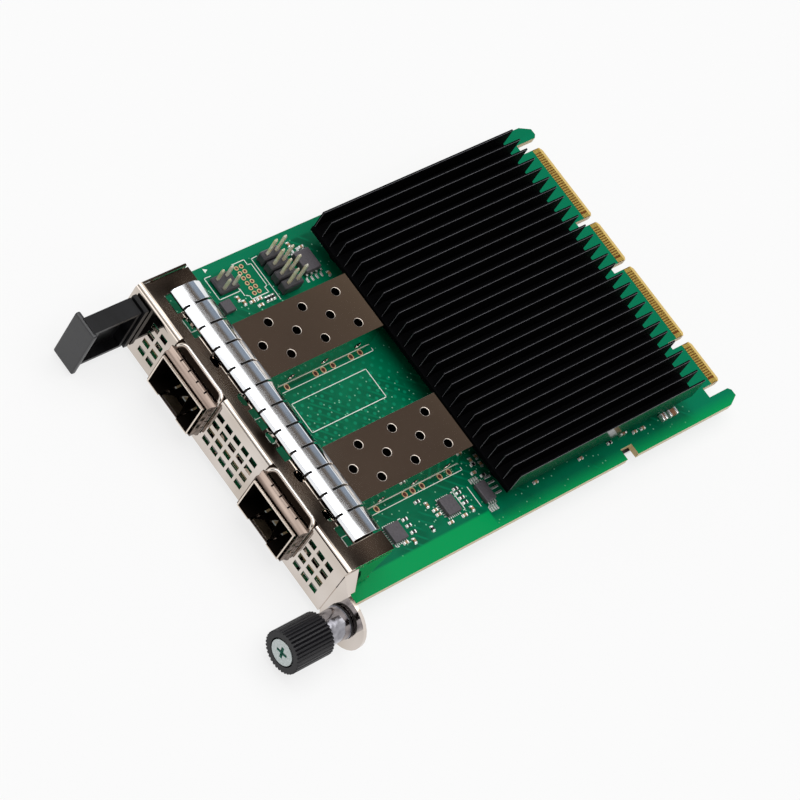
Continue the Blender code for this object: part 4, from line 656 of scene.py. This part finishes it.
# The contact finger strip
# Spring copper, slit into fingers, crowned over a die and tin plated. It is clipped along the rear
# edge of the faceplate's top, with a leg bent down behind it, and touches the server's own bezel.
LEG_PROFILE_MM = ((0.4, 0.2), (1.8, 0.42), (3.3, 0.45), (5.4, 0.25), (6.0, 0.02), (7.5, -1.1),
                  (8.2, -2.0))
LEG_END_GAP_MM = 0.3
LEG_SHEET_MM = 0.1
# Bright tin: a white metal, with soft reflections.
tin = grain(*start_material("bright_tin_plate", "#E9EBEE", 1.0, 0.12), 5 * MM, ("#F0F1F3", "#DDE0E4"),
            (0.09, 0.15), 0.000004)
take_node("contact_finger_strip", "sprung_finger_strip", 0.05 * MM, [tin], 2, 50.0)
# The leg is bare, dull and in shade: near black, with a warm tone.
shaded_copper = grain(*start_material("spring_copper_in_shade", "#1C1815", 0.0, 0.5, 0.3), 1.0 * MM,
                      ("#211C18", "#15110F"), (0.45, 0.6), 0.000004)
strip_low, strip_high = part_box("contact_finger_strip")
bpy.ops.object.select_all(action="DESELECT")
bpy.ops.mesh.primitive_plane_add(size=1.0)
leg = bpy.context.active_object
corners = sorted(leg.data.vertices, key=lambda corner: (corner.co.y, corner.co.x))
face_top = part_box("faceplate")[1][2]
ends = (strip_low[0] + LEG_END_GAP_MM * MM, strip_high[0] - LEG_END_GAP_MM * MM)
for corner, (x, row) in zip(corners, ((ends[0], 0), (ends[1], 0), (ends[0], 1), (ends[1], 1))):
    back, rise = LEG_PROFILE_MM[row]
    corner.co = (x, strip_low[1] + back * MM, face_top + rise * MM)
first_row_back = sum(back for back, rise in LEG_PROFILE_MM[:2]) / 2
bpy.ops.object.mode_set(mode="EDIT")
bpy.ops.mesh.select_all(action="DESELECT")
bpy.ops.object.mode_set(mode="OBJECT")
for edge in leg.data.edges:
    edge.select = all(leg.data.vertices[i].co.y > strip_low[1] + first_row_back * MM
                      for i in edge.vertices)
bpy.ops.object.mode_set(mode="EDIT")
bpy.context.tool_settings.mesh_select_mode = (False, True, False)
for (y0, z0), (y1, z1) in zip(LEG_PROFILE_MM[1:], LEG_PROFILE_MM[2:]):
    step = (0.0, (y1 - y0) * MM, (z1 - z0) * MM)
    bpy.ops.mesh.extrude_edges_move(TRANSFORM_OT_translate={"value": step})
bpy.ops.object.mode_set(mode="OBJECT")
wall = leg.modifiers.new("sheet", "SOLIDIFY")
wall.thickness = LEG_SHEET_MM * MM
wall.offset = 0.0
bpy.ops.object.modifier_apply(modifier="sheet")
dress(leg, "strip_clip_leg", [shaded_copper], "contact_finger_strip", False)

# The module cages and their collars
# Thin copper alloy, pierced, folded and nickel plated; the punch leaves a bright rim round each
# hole. A sprung collar is welded round each mouth, and a tab in the floor latches the module.
CAGE_HOLE_RADIUS_MM = 1.05
CAGE_HOLE_PITCH_X_MM = 3.95
CAGE_HOLE_PITCH_Y_MM = 9.08
CAGE_HOLE_REAR_MARGIN_MM = 4.7
RIM_WIRE_MM = 0.11
LATCH_REACH_MM = 5.0
FLOOR_ZONE_MM = 2.0
INSIDE_FROM_MM = 0.2
MOUTH_EDGE_MM = 0.1
TOP_BEND_MM = (0.15, 0.1)
# Smooth nickel: a warm mirror that gives back the room as pale grey.
cage_nickel = grain(*start_material("nickel_plate_on_copper_alloy", "#DFD3C7", 1.0, 0.05), 12 * MM,
                    ("#E8DBCE", "#DACDC0"), (0.04, 0.06), 0.000008, detail=0.0)
# Rubbed rims and bends: the same nickel, with broader highlights.
hole_rim = grain(*start_material("burnished_hole_rim", "#D9CDC2", 1.0, 0.3), 1 * MM,
                 ("#E2D7CC", "#C6BAAE"), (0.25, 0.36), 0.000004)
# The floor inside the mouth: darker and browner, because little light reaches it.
latch_nickel = grain(*start_material("nickel_latch_plate", "#9C8A74", 1.0, 0.35), 2 * MM,
                     ("#A8957D", "#86745F"), (0.3, 0.42), 0.000006)
# The sides, a little less smooth than the top: they mirror the board's green and the holes in it.
cage_side = grain(*start_material("rolled_nickel_side", "#D6D0C6", 1.0, 0.08), 6 * MM,
                  ("#DCD6CC", "#CBC4B9"), (0.06, 0.1), 0.000006, detail=0.0)
# The inner walls: dull and near black, as deep in a box.
cage_inside = grain(*start_material("nickel_inside_in_shade", "#2E2722", 1.0, 0.45), 3 * MM,
                    ("#332B26", "#26201C"), (0.4, 0.52), 0.000006)
# The collar's bent fingers: tin, darkened to brown by painted shade, with painted dark streaks across
# where one finger shades the next.
collar_tin_painted_shade = grain(*start_material("tin_on_collar_with_painted_shade", "#7D7068", 1.0, 0.2), 1.1 * MM,
                   ("#8A7C73", "#4A3F39"), (0.16, 0.24), 0.000004, stretch=(0.05, 1.0, 1.0), detail=1.0)
# Glass-filled plastic: flat black.
socket_plastic = grain(*start_material("glass_filled_moulding", "#101011", 0.0, 0.55, 0.3), 0.4 * MM,
                       ("#131314", "#0C0C0D"), (0.5, 0.62), 0.00001)
for side in ("left", "right"):
    shell = take_node("module_cage_" + side, side + "_cage_shell", 0.09 * MM,
                      [cage_nickel, cage_side, cage_inside, hole_rim, latch_nickel])
    low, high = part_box("module_cage_" + side)
    for face in shell.data.polygons:
        depth = min(face.center.x - low[0], high[0] - face.center.x,
                    face.center.z - low[2], high[2] - face.center.z)
        in_mouth = face.center.y < low[1] + LATCH_REACH_MM * MM
        at_floor = face.center.z < low[2] + FLOOR_ZONE_MM * MM
        at_bend = face.center.z > high[2] - TOP_BEND_MM[0] * MM and depth < TOP_BEND_MM[1] * MM
        if depth > INSIDE_FROM_MM * MM and in_mouth and face.normal.z > 0.5 and at_floor:
            face.material_index = 4
        elif depth > INSIDE_FROM_MM * MM and face.center.y > low[1] + MOUTH_EDGE_MM * MM:
            face.material_index = 2
        elif abs(face.normal.x) > 0.9:
            face.material_index = 1
        elif face.normal.y < -0.5 and at_floor:
            face.material_index = 3
        elif at_bend and 0.2 < face.normal.z < 0.95:
            face.material_index = 3
    centre_x = (low[0] + high[0]) / 2
    rims = []
    for row in (-1, 0, 1):
        for k in range(3):
            back = CAGE_HOLE_REAR_MARGIN_MM + (k + (0.5 if row == 0 else 0.0)) * CAGE_HOLE_PITCH_Y_MM
            hole = (centre_x + row * CAGE_HOLE_PITCH_X_MM * MM, high[1] - back * MM,
                    high[2] - RIM_WIRE_MM * MM)
            bpy.ops.object.select_all(action="DESELECT")
            bpy.ops.mesh.primitive_torus_add(
                major_segments=32, minor_segments=8, major_radius=CAGE_HOLE_RADIUS_MM * MM,
                minor_radius=RIM_WIRE_MM * MM, location=hole)
            bpy.ops.object.transform_apply(location=True)
            rims.append(bpy.context.active_object)
    rim_rings = join(rims)
    bpy.ops.object.shade_smooth()
    dress(rim_rings, side + "_cage_hole_rims", [hole_rim], "module_cage_" + side, False)
    take_node("cage_collar_" + side, side + "_sprung_collar", 0.04 * MM, [collar_tin_painted_shade], 2, 50.0)
    take_node("module_socket_" + side, side + "_module_socket", 0.12 * MM, [socket_plastic])

# The heatsink
# Aluminium, extruded as a comb, cut to length, cut back along the front and anodised satin black.
# It stands on four bosses, and screws come up into them through the board.
FIN_EDGE_DEPTH_MM = 4.7
OUTER_SIDE_DEPTH_MM = 0.1
# Black anodising: a dead black with almost no sheen.
anodised = grain(*start_material("black_anodised_aluminium", "#050506", 0.0, 0.6, 0.02), 0.35 * MM,
                 ("#040405", "#08080A"), (0.55, 0.66), 0.000008)
# The fins' right edges: thin grey lines of painted highlight, where their rounded edges catch the light.
fin_edge_painted_highlight = grain(*start_material("anodised_edge_painted_highlight", "#5E5E62", 0.0, 0.4, 0.3), 0.35 * MM,
               ("#68686C", "#4C4C50"), (0.35, 0.45), 0.000008)
# The flat outer side, which the die leaves smooth: black, with a faint mirror of the board.
smooth_side = grain(*start_material("smooth_anodised_side", "#050506", 0.0, 0.14, 1.0), 2.0 * MM,
                    ("#050506", "#070708"), (0.1, 0.18), 0.000004, detail=1.0)
comb = take_node("heatsink", "finned_heatsink", 0.11 * MM, [anodised, fin_edge_painted_highlight, smooth_side])
comb_side, fin_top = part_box("heatsink")[1][0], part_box("heatsink")[1][2]
# Faces along the fins' upper right edges take the painted highlight.
for face in comb.data.polygons:
    upward = face.normal.z > 0.05 or face.normal.y < -0.3
    if face.center.z > fin_top - FIN_EDGE_DEPTH_MM * MM and 0.3 < face.normal.x < 0.95 and upward:
        face.material_index = 1
    elif face.normal.x > 0.95 and face.center.x > comb_side - OUTER_SIDE_DEPTH_MM * MM:
        face.material_index = 2

# The fixing screws
# Pan-head steel screws, cold headed, rolled and zinc plated, all driven from below the board or
# from behind the faceplate.

# Clear zinc: a cool grey metal, fairly soft in its highlights.
zinc = grain(*start_material("zinc_plated_steel", "#AEB3B6", 1.0, 0.3), 0.6 * MM, ("#B8BDC0", "#9DA2A6"),
             (0.22, 0.36), 0.000004)
for node in ("heatsink_screw_front_left", "heatsink_screw_front_right", "heatsink_screw_rear_left",
             "heatsink_screw_rear_right", "faceplate_screw_left", "faceplate_screw_right",
             "pull_tab_screw_lower", "pull_tab_screw_upper"):
    take_node(node, node.replace("screw", "pan_head"), 0.14 * MM, [zinc])

# The controller under the heatsink
# A flip chip on a green substrate, under a nickel plated copper lid that is glued on at its rim. A
# soft silicone pad carries its heat up into the pedestal.

# The package's laminate: deep green, with a satin face.
substrate = grain(*start_material("package_substrate", "#0E5A3E", 0.0, 0.4), 0.8 * MM,
                  ("#0F5E41", "#0B4C34"), (0.35, 0.45), 0.000004)
# Matt nickel: an even grey with blurred highlights.
lid = grain(*start_material("matt_nickel_lid", "#A9ABAE", 1.0, 0.4), 0.5 * MM, ("#B0B2B5", "#9A9C9F"),
            (0.34, 0.46), 0.000006)
# Filled silicone: blue-grey, dull and slightly rough.
pad = grain(*start_material("silicone_pad", "#7D858C", 0.0, 0.8), 0.7 * MM, ("#838B92", "#6F777E"),
            (0.75, 0.9), 0.00002)
take_node("controller_substrate", "package_substrate", 0.08 * MM, [substrate])
take_node("controller_lid", "package_lid", 0.3 * MM, [lid])
take_node("thermal_pad", "soft_thermal_pad", 0.12 * MM, [pad])

# The chips and the larger soldered parts
# Epoxy packages, moulded round their lead frames and dark grey with a fine matt face; pressed
# powder inductors; tantalum capacitors; a metal-lidded oscillator; and one big ceramic capacitor.

# Moulded epoxy: warm dark grey, with a fine matt face.
epoxy = grain(*start_material("moulded_chip_epoxy", "#4E4A4F", 0.0, 0.5, 0.4), 0.35 * MM,
              ("#555156", "#454146"), (0.42, 0.58), 0.00001)
# Pressed powder: mid grey, rough and dull.
powder = grain(*start_material("pressed_iron_powder", "#4A4A4C", 0.0, 0.7), 0.3 * MM,
               ("#525254", "#3B3B3D"), (0.6, 0.8), 0.00003)
# A moulded case in brown-black, a little smoother than the chips.
tantalum = grain(*start_material("tantalum_capacitor_case", "#231F1C", 0.0, 0.4), 0.5 * MM,
                 ("#27231F", "#1B1815"), (0.34, 0.5), 0.000008)
# A drawn lid: light grey metal, softly blurred.
can = grain(*start_material("oscillator_lid", "#C3C5C8", 1.0, 0.3), 0.5 * MM, ("#C9CBCE", "#B4B6B9"),
            (0.25, 0.38), 0.000004)
# Fired ceramic: reddish brown with a dull shine.
ceramic = grain(*start_material("fired_ceramic", "#9A6A4A", 0.0, 0.4), 0.4 * MM, ("#A5744F", "#875A3D"),
                (0.34, 0.48), 0.000008)
for node, name, finish_of in (
        ("flash_memory_chip", "eight_lead_chip_left", epoxy),
        ("port_regulator_chip", "five_lead_chip", epoxy),
        ("port_power_switch_front", "square_chip_front", epoxy),
        ("port_power_switch_rear", "square_chip_rear", epoxy),
        ("identity_memory_chip", "eight_lead_chip_right", epoxy),
        ("clock_oscillator", "canned_oscillator", can),
        ("power_inductor_left", "inductor_block_left", powder),
        ("power_inductor_middle", "inductor_block_middle", powder),
        ("power_inductor_right", "inductor_block_right", powder),
        ("bulk_capacitor_left", "capacitor_block_left", tantalum),
        ("bulk_capacitor_right", "capacitor_block_right", tantalum),
        ("edge_capacitor", "ceramic_block", ceramic)):
    take_node(node, name, 0.05 * MM, [finish_of])

# The leads and solder pads of the chips
# Tinned copper, cropped and bent down to pads on the board; the square chips have flat lands that
# come out level with their undersides.
LEAD_SHEET_MM = 0.12
LEAD_LEG_MM = 0.14
PAD_MARGIN_MM = 0.06
# Each row: root x and y of the first lead, reach, width, rise, count, pitch.
GULL_LEADS_MM = (
    (-27.15, 41.0, 1.35, 0.42, 0.9, 4, 1.27), (-32.05, 41.0, -1.35, 0.42, 0.9, 4, 1.27),
    (32.5, 43.6, 1.75, 0.3, 0.8, 4, 0.6), (28.1, 43.6, -1.55, 0.3, 0.8, 4, 0.6))
# Each row: the leads' middles along x, their half width, their front and rear, and their rise.
FLAT_LEADS_MM = (((-28.6, -27.7, -26.8), 0.2, 21.0, 22.0, 0.14),
                 ((-28.6, -26.8), 0.2, 17.9, 18.8, 0.14),
                 ((27.6, 28.87, 30.14, 31.41), 0.24, 46.9, 48.7, 0.12))
QUAD_CENTRES_MM = ((29.3, 20.6), (29.4, 35.3))
QUAD_REACH_MM = (2.12, 1.92)
QUAD_LAND_MM = (0.24, 0.66, 0.16)
QUAD_FIRST_MM = 1.62
QUAD_PITCH_MM = 0.5
QUAD_COUNT = 7
# Solder and tin, fused: nearly white, with small bright highlights.
solder = grain(*start_material("bright_solder", "#EEF0EE", 0.7, 0.3), 0.4 * MM, ("#F6F7F5", "#DCDFDC"),
               (0.22, 0.36), 0.000006)


def gull_lead(root, reach, width, rise):
    """A lead that leaves a package, drops to the board and runs out on it; reach is along X."""
    sign = 1 if reach > 0 else -1
    knee = root[0] + reach * 0.42
    leg = knee - sign * LEAD_LEG_MM
    spans = (((root[0], knee), (rise - LEAD_SHEET_MM, rise)), ((leg, knee), (0.05, rise)),
             ((leg, root[0] + reach), (0.03, 0.16)))
    steps = []
    for (x0, x1), (z0, z1) in spans:
        steps.append(block(on_board(min(x0, x1), root[1] - width / 2, z0),
                           on_board(max(x0, x1), root[1] + width / 2, z1), 0.02 * MM, 1))
    pad_ends = sorted((knee, root[0] + reach * 1.15))
    steps.append(block(on_board(pad_ends[0], root[1] - width / 2 - PAD_MARGIN_MM),
                       on_board(pad_ends[1], root[1] + width / 2 + PAD_MARGIN_MM, 0.035)))
    return join(steps)


leads = []
for x, y, reach, width, rise, count, pitch in GULL_LEADS_MM:
    lead = gull_lead((x, y), reach, width, rise)
    leads.append(repeat(lead, [Vector((0.0, i * pitch * MM, 0.0)) for i in range(count)]))
for middles, half, front, rear, rise in FLAT_LEADS_MM:
    for x in middles:
        leads.append(block(on_board(x - half, front), on_board(x + half, rear, rise), 0.03 * MM, 1))
land_width, land_length, land_rise = QUAD_LAND_MM
steps = [i * QUAD_PITCH_MM * MM for i in range(QUAD_COUNT)]
for centre_x, centre_y in QUAD_CENTRES_MM:
    for sign in (-1, 1):
        low = on_board(centre_x + sign * QUAD_REACH_MM[0] - land_length / 2, centre_y - QUAD_FIRST_MM)
        land = block(low, low + Vector((land_length, land_width, land_rise)) * MM, 0.02 * MM, 1)
        leads.append(repeat(land, [Vector((0.0, step, 0.0)) for step in steps]))
        low = on_board(centre_x - QUAD_FIRST_MM, centre_y + sign * QUAD_REACH_MM[1] - land_length / 2)
        land = block(low, low + Vector((land_width, land_length, land_rise)) * MM, 0.02 * MM, 1)
        leads.append(repeat(land, [Vector((step, 0.0, 0.0)) for step in steps]))
dress(join(leads), "chip_leads", [solder], "identity_memory_chip", False)

# The small chip parts
# Ceramic capacitors, tan with tinned ends, and resistors, black on top with tinned ends, soldered
# flat on their pads. Three larger capacitors stand at the rear of the right edge.

# Each part: its middle's x and y, and 1 where it lies along y.
CAPACITORS_MM = (
    (-28.6, 23.8, 0), (-27.3, 24.5, 0), (-26.8, 26.4, 1), (-26.8, 28.2, 1), (-25.4, 27.6, 1),
    (-33.3, 44.6, 1), (-34.8, 42.3, 0), (31.9, 21.6, 1), (32.4, 23.5, 0), (28.8, 32.2, 1),
    (29.9, 32.3, 1), (27.1, 31.2, 0), (32.5, 33.6, 1), (32.5, 37.4, 1), (32.0, 39.9, 0),
    (23.0, 46.8, 0), (24.6, 48.4, 0), (22.8, 48.5, 0), (25.6, 45.6, 1), (33.5, 86.2, 1),
    (33.6, 88.5, 1), (-25.6, 46.4, 0), (-20.5, 102.6, 0), (-17.4, 102.5, 0), (-1.8, 102.6, 0),
    (0.9, 102.7, 0), (12.4, 102.5, 0), (33.2, 57.0, 1), (33.2, 70.2, 1))
RESISTORS_MM = (
    (-31.6, 41.9, 0), (-29.9, 39.6, 0), (-26.0, 29.6, 0), (-26.0, 30.5, 0), (-26.0, 31.4, 0),
    (27.6, 24.7, 1), (29.1, 24.6, 1), (30.7, 24.6, 1), (26.8, 39.4, 1), (27.8, 39.4, 1),
    (29.0, 39.4, 1), (30.2, 39.4, 1), (24.0, 46.7, 1), (26.9, 47.2, 1), (31.9, 28.9, 0),
    (25.6, 29.7, 1), (33.1, 78.9, 1))
CHIP_LENGTH_MM = 1.15
CHIP_WIDTH_MM = 0.62
CHIP_HEIGHT_MM = 0.42
CHIP_END_MM = 0.3
JOINT_REACH_MM = 0.16
JOINT_MARGIN_MM = 0.04
JOINT_RISE_MM = 0.07
# Each row: the middle's x and y, and the length along y.
LARGE_CAPACITORS_MM = ((33.7, 97.2, 2.2), (33.7, 94.5, 1.2), (32.3, 82.9, 1.6))
LARGE_HALF_WIDTH_MM = 0.75
LARGE_HEIGHT_MM = 1.0
LARGE_END_MM = 0.45
# Unglazed ceramic: a light tan with a dull face.
chip_ceramic = grain(*start_material("small_ceramic_body", "#B08A66", 0.0, 0.45), 0.3 * MM,
                     ("#B9936E", "#9A7654"), (0.4, 0.52), 0.000006)
# Glaze: black and fairly glossy.
chip_glass = grain(*start_material("resistor_glaze", "#141416", 0.0, 0.3), 0.3 * MM,
                   ("#17171A", "#0E0E10"), (0.25, 0.36), 0.000004)


def chip_part(body_material):
    """A small chip part at the board's front middle, along X: a body between two tinned ends."""
    half, wide = CHIP_LENGTH_MM / 2, CHIP_WIDTH_MM / 2
    body = block(on_board(-half + 0.05, -wide + 0.02, 0.06),
                 on_board(half - 0.05, wide - 0.02, CHIP_HEIGHT_MM - 0.02), 0.03 * MM, 1)
    body.data.materials.append(body_material)
    pieces = [body]
    for sign in (-1, 1):
        inner = sign * (half - CHIP_END_MM)
        left, right = sorted((inner, sign * half))
        end = block(on_board(left, -wide, 0.03), on_board(right, wide, CHIP_HEIGHT_MM), 0.05 * MM, 2)
        left, right = sorted((inner, sign * (half + JOINT_REACH_MM)))
        joint = block(on_board(left, -wide - JOINT_MARGIN_MM),
                      on_board(right, wide + JOINT_MARGIN_MM, JOINT_RISE_MM), 0.02 * MM, 1)
        for piece in (end, joint):
            piece.data.materials.append(solder)
            pieces.append(piece)
    return join(pieces)


for name, body_material, places in (("small_capacitors", chip_ceramic, CAPACITORS_MM),
                                    ("small_resistors", chip_glass, RESISTORS_MM)):
    groups = []
    for turned in (0, 1):
        part = chip_part(body_material)
        if turned:
            middle = on_board(0, 0)
            part.data.transform(Matrix.Translation(middle) @ Matrix.Rotation(math.pi / 2, 4, "Z")
                                @ Matrix.Translation(-middle))
        groups.append(repeat(part, [on_board(x, y) - on_board(0, 0)
                                    for x, y, turn in places if turn == turned]))
    dress(join(groups), name, None, "circuit_board", False)
large = []
for x, y, length in LARGE_CAPACITORS_MM:
    half, wide = length / 2, LARGE_HALF_WIDTH_MM
    large.append(block(on_board(x - wide, y - half, 0.05), on_board(x + wide, y + half, LARGE_HEIGHT_MM),
                       0.08 * MM))
    large[-1].data.materials.append(ceramic)
    wide += 0.07
    for sign in (-1, 1):
        front, rear = sorted((y + sign * (half - LARGE_END_MM), y + sign * (half + 0.12)))
        large.append(block(on_board(x - wide, front, 0.02),
                           on_board(x + wide, rear, LARGE_HEIGHT_MM + 0.06), 0.1 * MM))
        large[-1].data.materials.append(solder)
dress(join(large), "edge_chip_parts", None, "circuit_board", False)

# The pin headers
# Black nylon blocks moulded round square brass pins with gold over nickel. Each block has
# chamfered corners and stands off the board on small feet; the pins' tips are tapered.
PIN_HALF_MM = 0.28
PIN_TIP_MM = 0.45
PIN_TIP_SHARE = 0.45
BLOCK_FOOT_MM = 0.45
BLOCK_CHAMFER_MM = 0.28
DEBUG_COLUMNS_MM = (-33.78, -31.42)
DEBUG_ROWS_MM = (21.85, 24.35)
DEBUG_TOPS_MM = (1.1, 4.6)
JUMPER_FIRST_MM = -33.8
JUMPER_PITCH_MM = 2.5
JUMPER_ROWS_MM = (34.45, 36.95)
JUMPER_TOPS_MM = (2.8, 8.2)
# Black nylon, a little violet, with a soft sheen.
header_nylon = grain(*start_material("black_header_nylon", "#37353A", 0.0, 0.35), 0.4 * MM,
                     ("#3E3C41", "#2D2B30"), (0.3, 0.42), 0.00001)
# A thin flash of gold, with its colour painted nearly white as a highlight from the softbox, and yellow
# showing in patches.
pin_gold_painted_highlight = grain(*start_material("flashed_gold_with_painted_highlight", "#F2EFE4", 0.2, 0.22), 1.2 * MM,
                 ("#FBFAF4", "#DCCB8C"), (0.18, 0.28), 0.000002)


def square_pin(x, y, low, high):
    """A square pin with a tapered tip."""
    pin = block(on_board(x - PIN_HALF_MM, y - PIN_HALF_MM, low),
                on_board(x + PIN_HALF_MM, y + PIN_HALF_MM, high - PIN_TIP_MM))
    bpy.ops.object.mode_set(mode="EDIT")
    bpy.ops.mesh.select_all(action="DESELECT")
    bpy.ops.object.mode_set(mode="OBJECT")
    for face in pin.data.polygons:
        face.select = face.normal.z > 0.9
    bpy.ops.object.mode_set(mode="EDIT")
    bpy.ops.mesh.extrude_region_move(TRANSFORM_OT_translate={"value": (0.0, 0.0, PIN_TIP_MM * MM)})
    bpy.ops.transform.resize(value=(PIN_TIP_SHARE, PIN_TIP_SHARE, 1.0))
    bpy.ops.object.mode_set(mode="OBJECT")
    pin.data.materials.append(pin_gold_painted_highlight)
    return pin


def header(node, name, columns, rows, body_top, pin_top):
    """A header block in a node's place, with its pins at each column and row."""
    low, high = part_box(node)
    low_x, high_x = low[0] / MM, high[0] / MM
    low_y, high_y = (low[1] - BOARD_FRONT) / MM, (high[1] - BOARD_FRONT) / MM
    body = block(on_board(low_x, low_y, BLOCK_FOOT_MM), on_board(high_x, high_y, body_top),
                 BLOCK_CHAMFER_MM * MM, 1)
    body.data.materials.append(header_nylon)
    pieces = [body]
    for x in (low_x + 0.15, high_x - 0.55):
        foot = block(on_board(x, low_y + 0.3, 0.02), on_board(x + 0.4, high_y - 0.3, 0.6), 0.05 * MM, 1)
        foot.data.materials.append(header_nylon)
        pieces.append(foot)
    for x in columns:
        for y in rows:
            pieces.append(square_pin(x, y, 0.02, pin_top))
    dress(join(pieces), name, None, node)


header("debug_pin_header", "four_pin_header", DEBUG_COLUMNS_MM, DEBUG_ROWS_MM, *DEBUG_TOPS_MM)
for i in range(4):
    column = JUMPER_FIRST_MM + i * JUMPER_PITCH_MM
    header("jumper_header_%d" % (i + 1), "two_pin_header_%d" % (i + 1), (column,), JUMPER_ROWS_MM,
           *JUMPER_TOPS_MM)

# The pull tab
# Glass-filled nylon, moulded with a flat grip across the end of a hollow arm, and dark grey with a
# fine spark grain. Two screws from behind hold it to the faceplate.
GRIP_DEPTH_MM = 1.2
# Spark-eroded nylon: dark grey, with a fine grain that softens its sheen.
tab_nylon = grain(*start_material("grey_nylon_spark_grain", "#2A2A2C", 0.0, 0.36), 0.18 * MM,
                  ("#2E2E30", "#242426"), (0.32, 0.42), 0.000008)
# The arm is a little smoother, and painted black as shade, with faint grey mottles.
arm_nylon_painted_shade = grain(*start_material("arm_nylon_with_painted_shade", "#0C0C0D", 0.0, 0.34, 0.2), 2.5 * MM,
                  ("#050506", "#161618"), (0.3, 0.4), 0.00001, stretch=(0.4, 1.0, 1.0))
tab = take_node("pull_tab", "moulded_pull_tab", 0.12 * MM, [tab_nylon, arm_nylon_painted_shade])
grip_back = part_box("pull_tab")[0][1] + GRIP_DEPTH_MM * MM
# Faces behind the grip take the arm's painted shade.
for face in tab.data.polygons:
    if face.center.y > grip_back:
        face.material_index = 1

# The captive thumbscrew
# A turned and chromed barrel is riveted into the faceplate's ear, with a painted shadow in black round
# the rim of its flange. The screw runs through it inside a ribbed nylon knob, held back by a spring
# behind a clipped ring.
SHADOW_RING_DEPTH_MM = (0.35, 0.3)
SHADOW_RING_INNER_MM = 3.42
RECESS_RADIUS_MM = 1.7
RECESS_DEPTH_MM = (0.12, 1.1)
# Chrome over turned steel: a cool mirror, slightly waved, with painted reflection mottling its colour
# light and dark grey.
chrome_painted_reflection = grain(*start_material("chromed_steel_with_painted_reflection", "#9F9EA3", 1.0, 0.1), 1.8 * MM,
               ("#B4B3B9", "#77767C"), (0.08, 0.14), 0.00005, detail=1.0)
# Clear zinc on the screw's face: pale and almost white, with a dull shine.
pale_zinc = grain(*start_material("pale_zinc_plate", "#BFC6C5", 0.7, 0.42), 0.4 * MM,
                  ("#C9CFCF", "#AFB8B6"), (0.36, 0.5), 0.00001)
# Thicker zinc in the driver recess: blue-green and dull.
teal_zinc = grain(*start_material("zinc_in_the_recess", "#4F9482", 0.4, 0.45), 0.3 * MM,
                  ("#5FA391", "#3B7A69"), (0.4, 0.55), 0.00001)
# Black nylon with a satin skin.
knob_nylon = grain(*start_material("black_knob_nylon", "#121115", 0.0, 0.36, 0.3), 0.25 * MM,
                   ("#151418", "#0E0D11"), (0.3, 0.4), 0.00001)
# A painted shadow on the rim of the barrel's flange, next to the ear: flat black.
flange_rim_painted_shadow = grain(*start_material("painted_shadow_at_flange_rim", "#0E0E0F", 0.0, 0.5, 0.3), 0.3 * MM,
               ("#121213", "#0A0A0B"), (0.45, 0.6), 0.00001)
barrel = take_node("thumbscrew_barrel", "chromed_barrel", 0.1 * MM, [chrome_painted_reflection, flange_rim_painted_shadow])
barrel_low, barrel_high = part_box("thumbscrew_barrel")
axis = (barrel_low + barrel_high) / 2
ear_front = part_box("faceplate")[0][1]
# Faces round the flange's rim, next to the ear, take the painted shadow.
for face in barrel.data.polygons:
    off_axis = math.hypot(face.center.x - axis[0], face.center.z - axis[2])
    behind_ear = face.center.y - ear_front
    near_ear = -SHADOW_RING_DEPTH_MM[0] * MM < behind_ear < SHADOW_RING_DEPTH_MM[1] * MM
    if near_ear and off_axis > SHADOW_RING_INNER_MM * MM:
        face.material_index = 1
take_node("thumbscrew_knob", "ribbed_knob", 0.09 * MM, [knob_nylon])
take_node("thumbscrew_ring", "clipped_ring", 0.06 * MM, [zinc])
screw = take_node("thumbscrew_screw", "captive_screw", 0.09 * MM, [pale_zinc, teal_zinc])
head_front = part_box("thumbscrew_screw")[0][1]
for face in screw.data.polygons:
    off_axis = math.hypot(face.center.x - axis[0], face.center.z - axis[2])
    depth = face.center.y - head_front
    if off_axis < RECESS_RADIUS_MM * MM and RECESS_DEPTH_MM[0] * MM < depth < RECESS_DEPTH_MM[1] * MM:
        face.material_index = 1
# Drawn spring wire: mid grey and fairly bright.
spring_wire = grain(*start_material("spring_wire", "#9EA0A3", 1.0, 0.3), 0.5 * MM,
                    ("#A8AAAD", "#8D8F92"), (0.24, 0.36), 0.000004)
spring = frame["nodes"]["thumbscrew_spring"]
spring.data.materials.clear()
spring.data.materials.append(spring_wire)
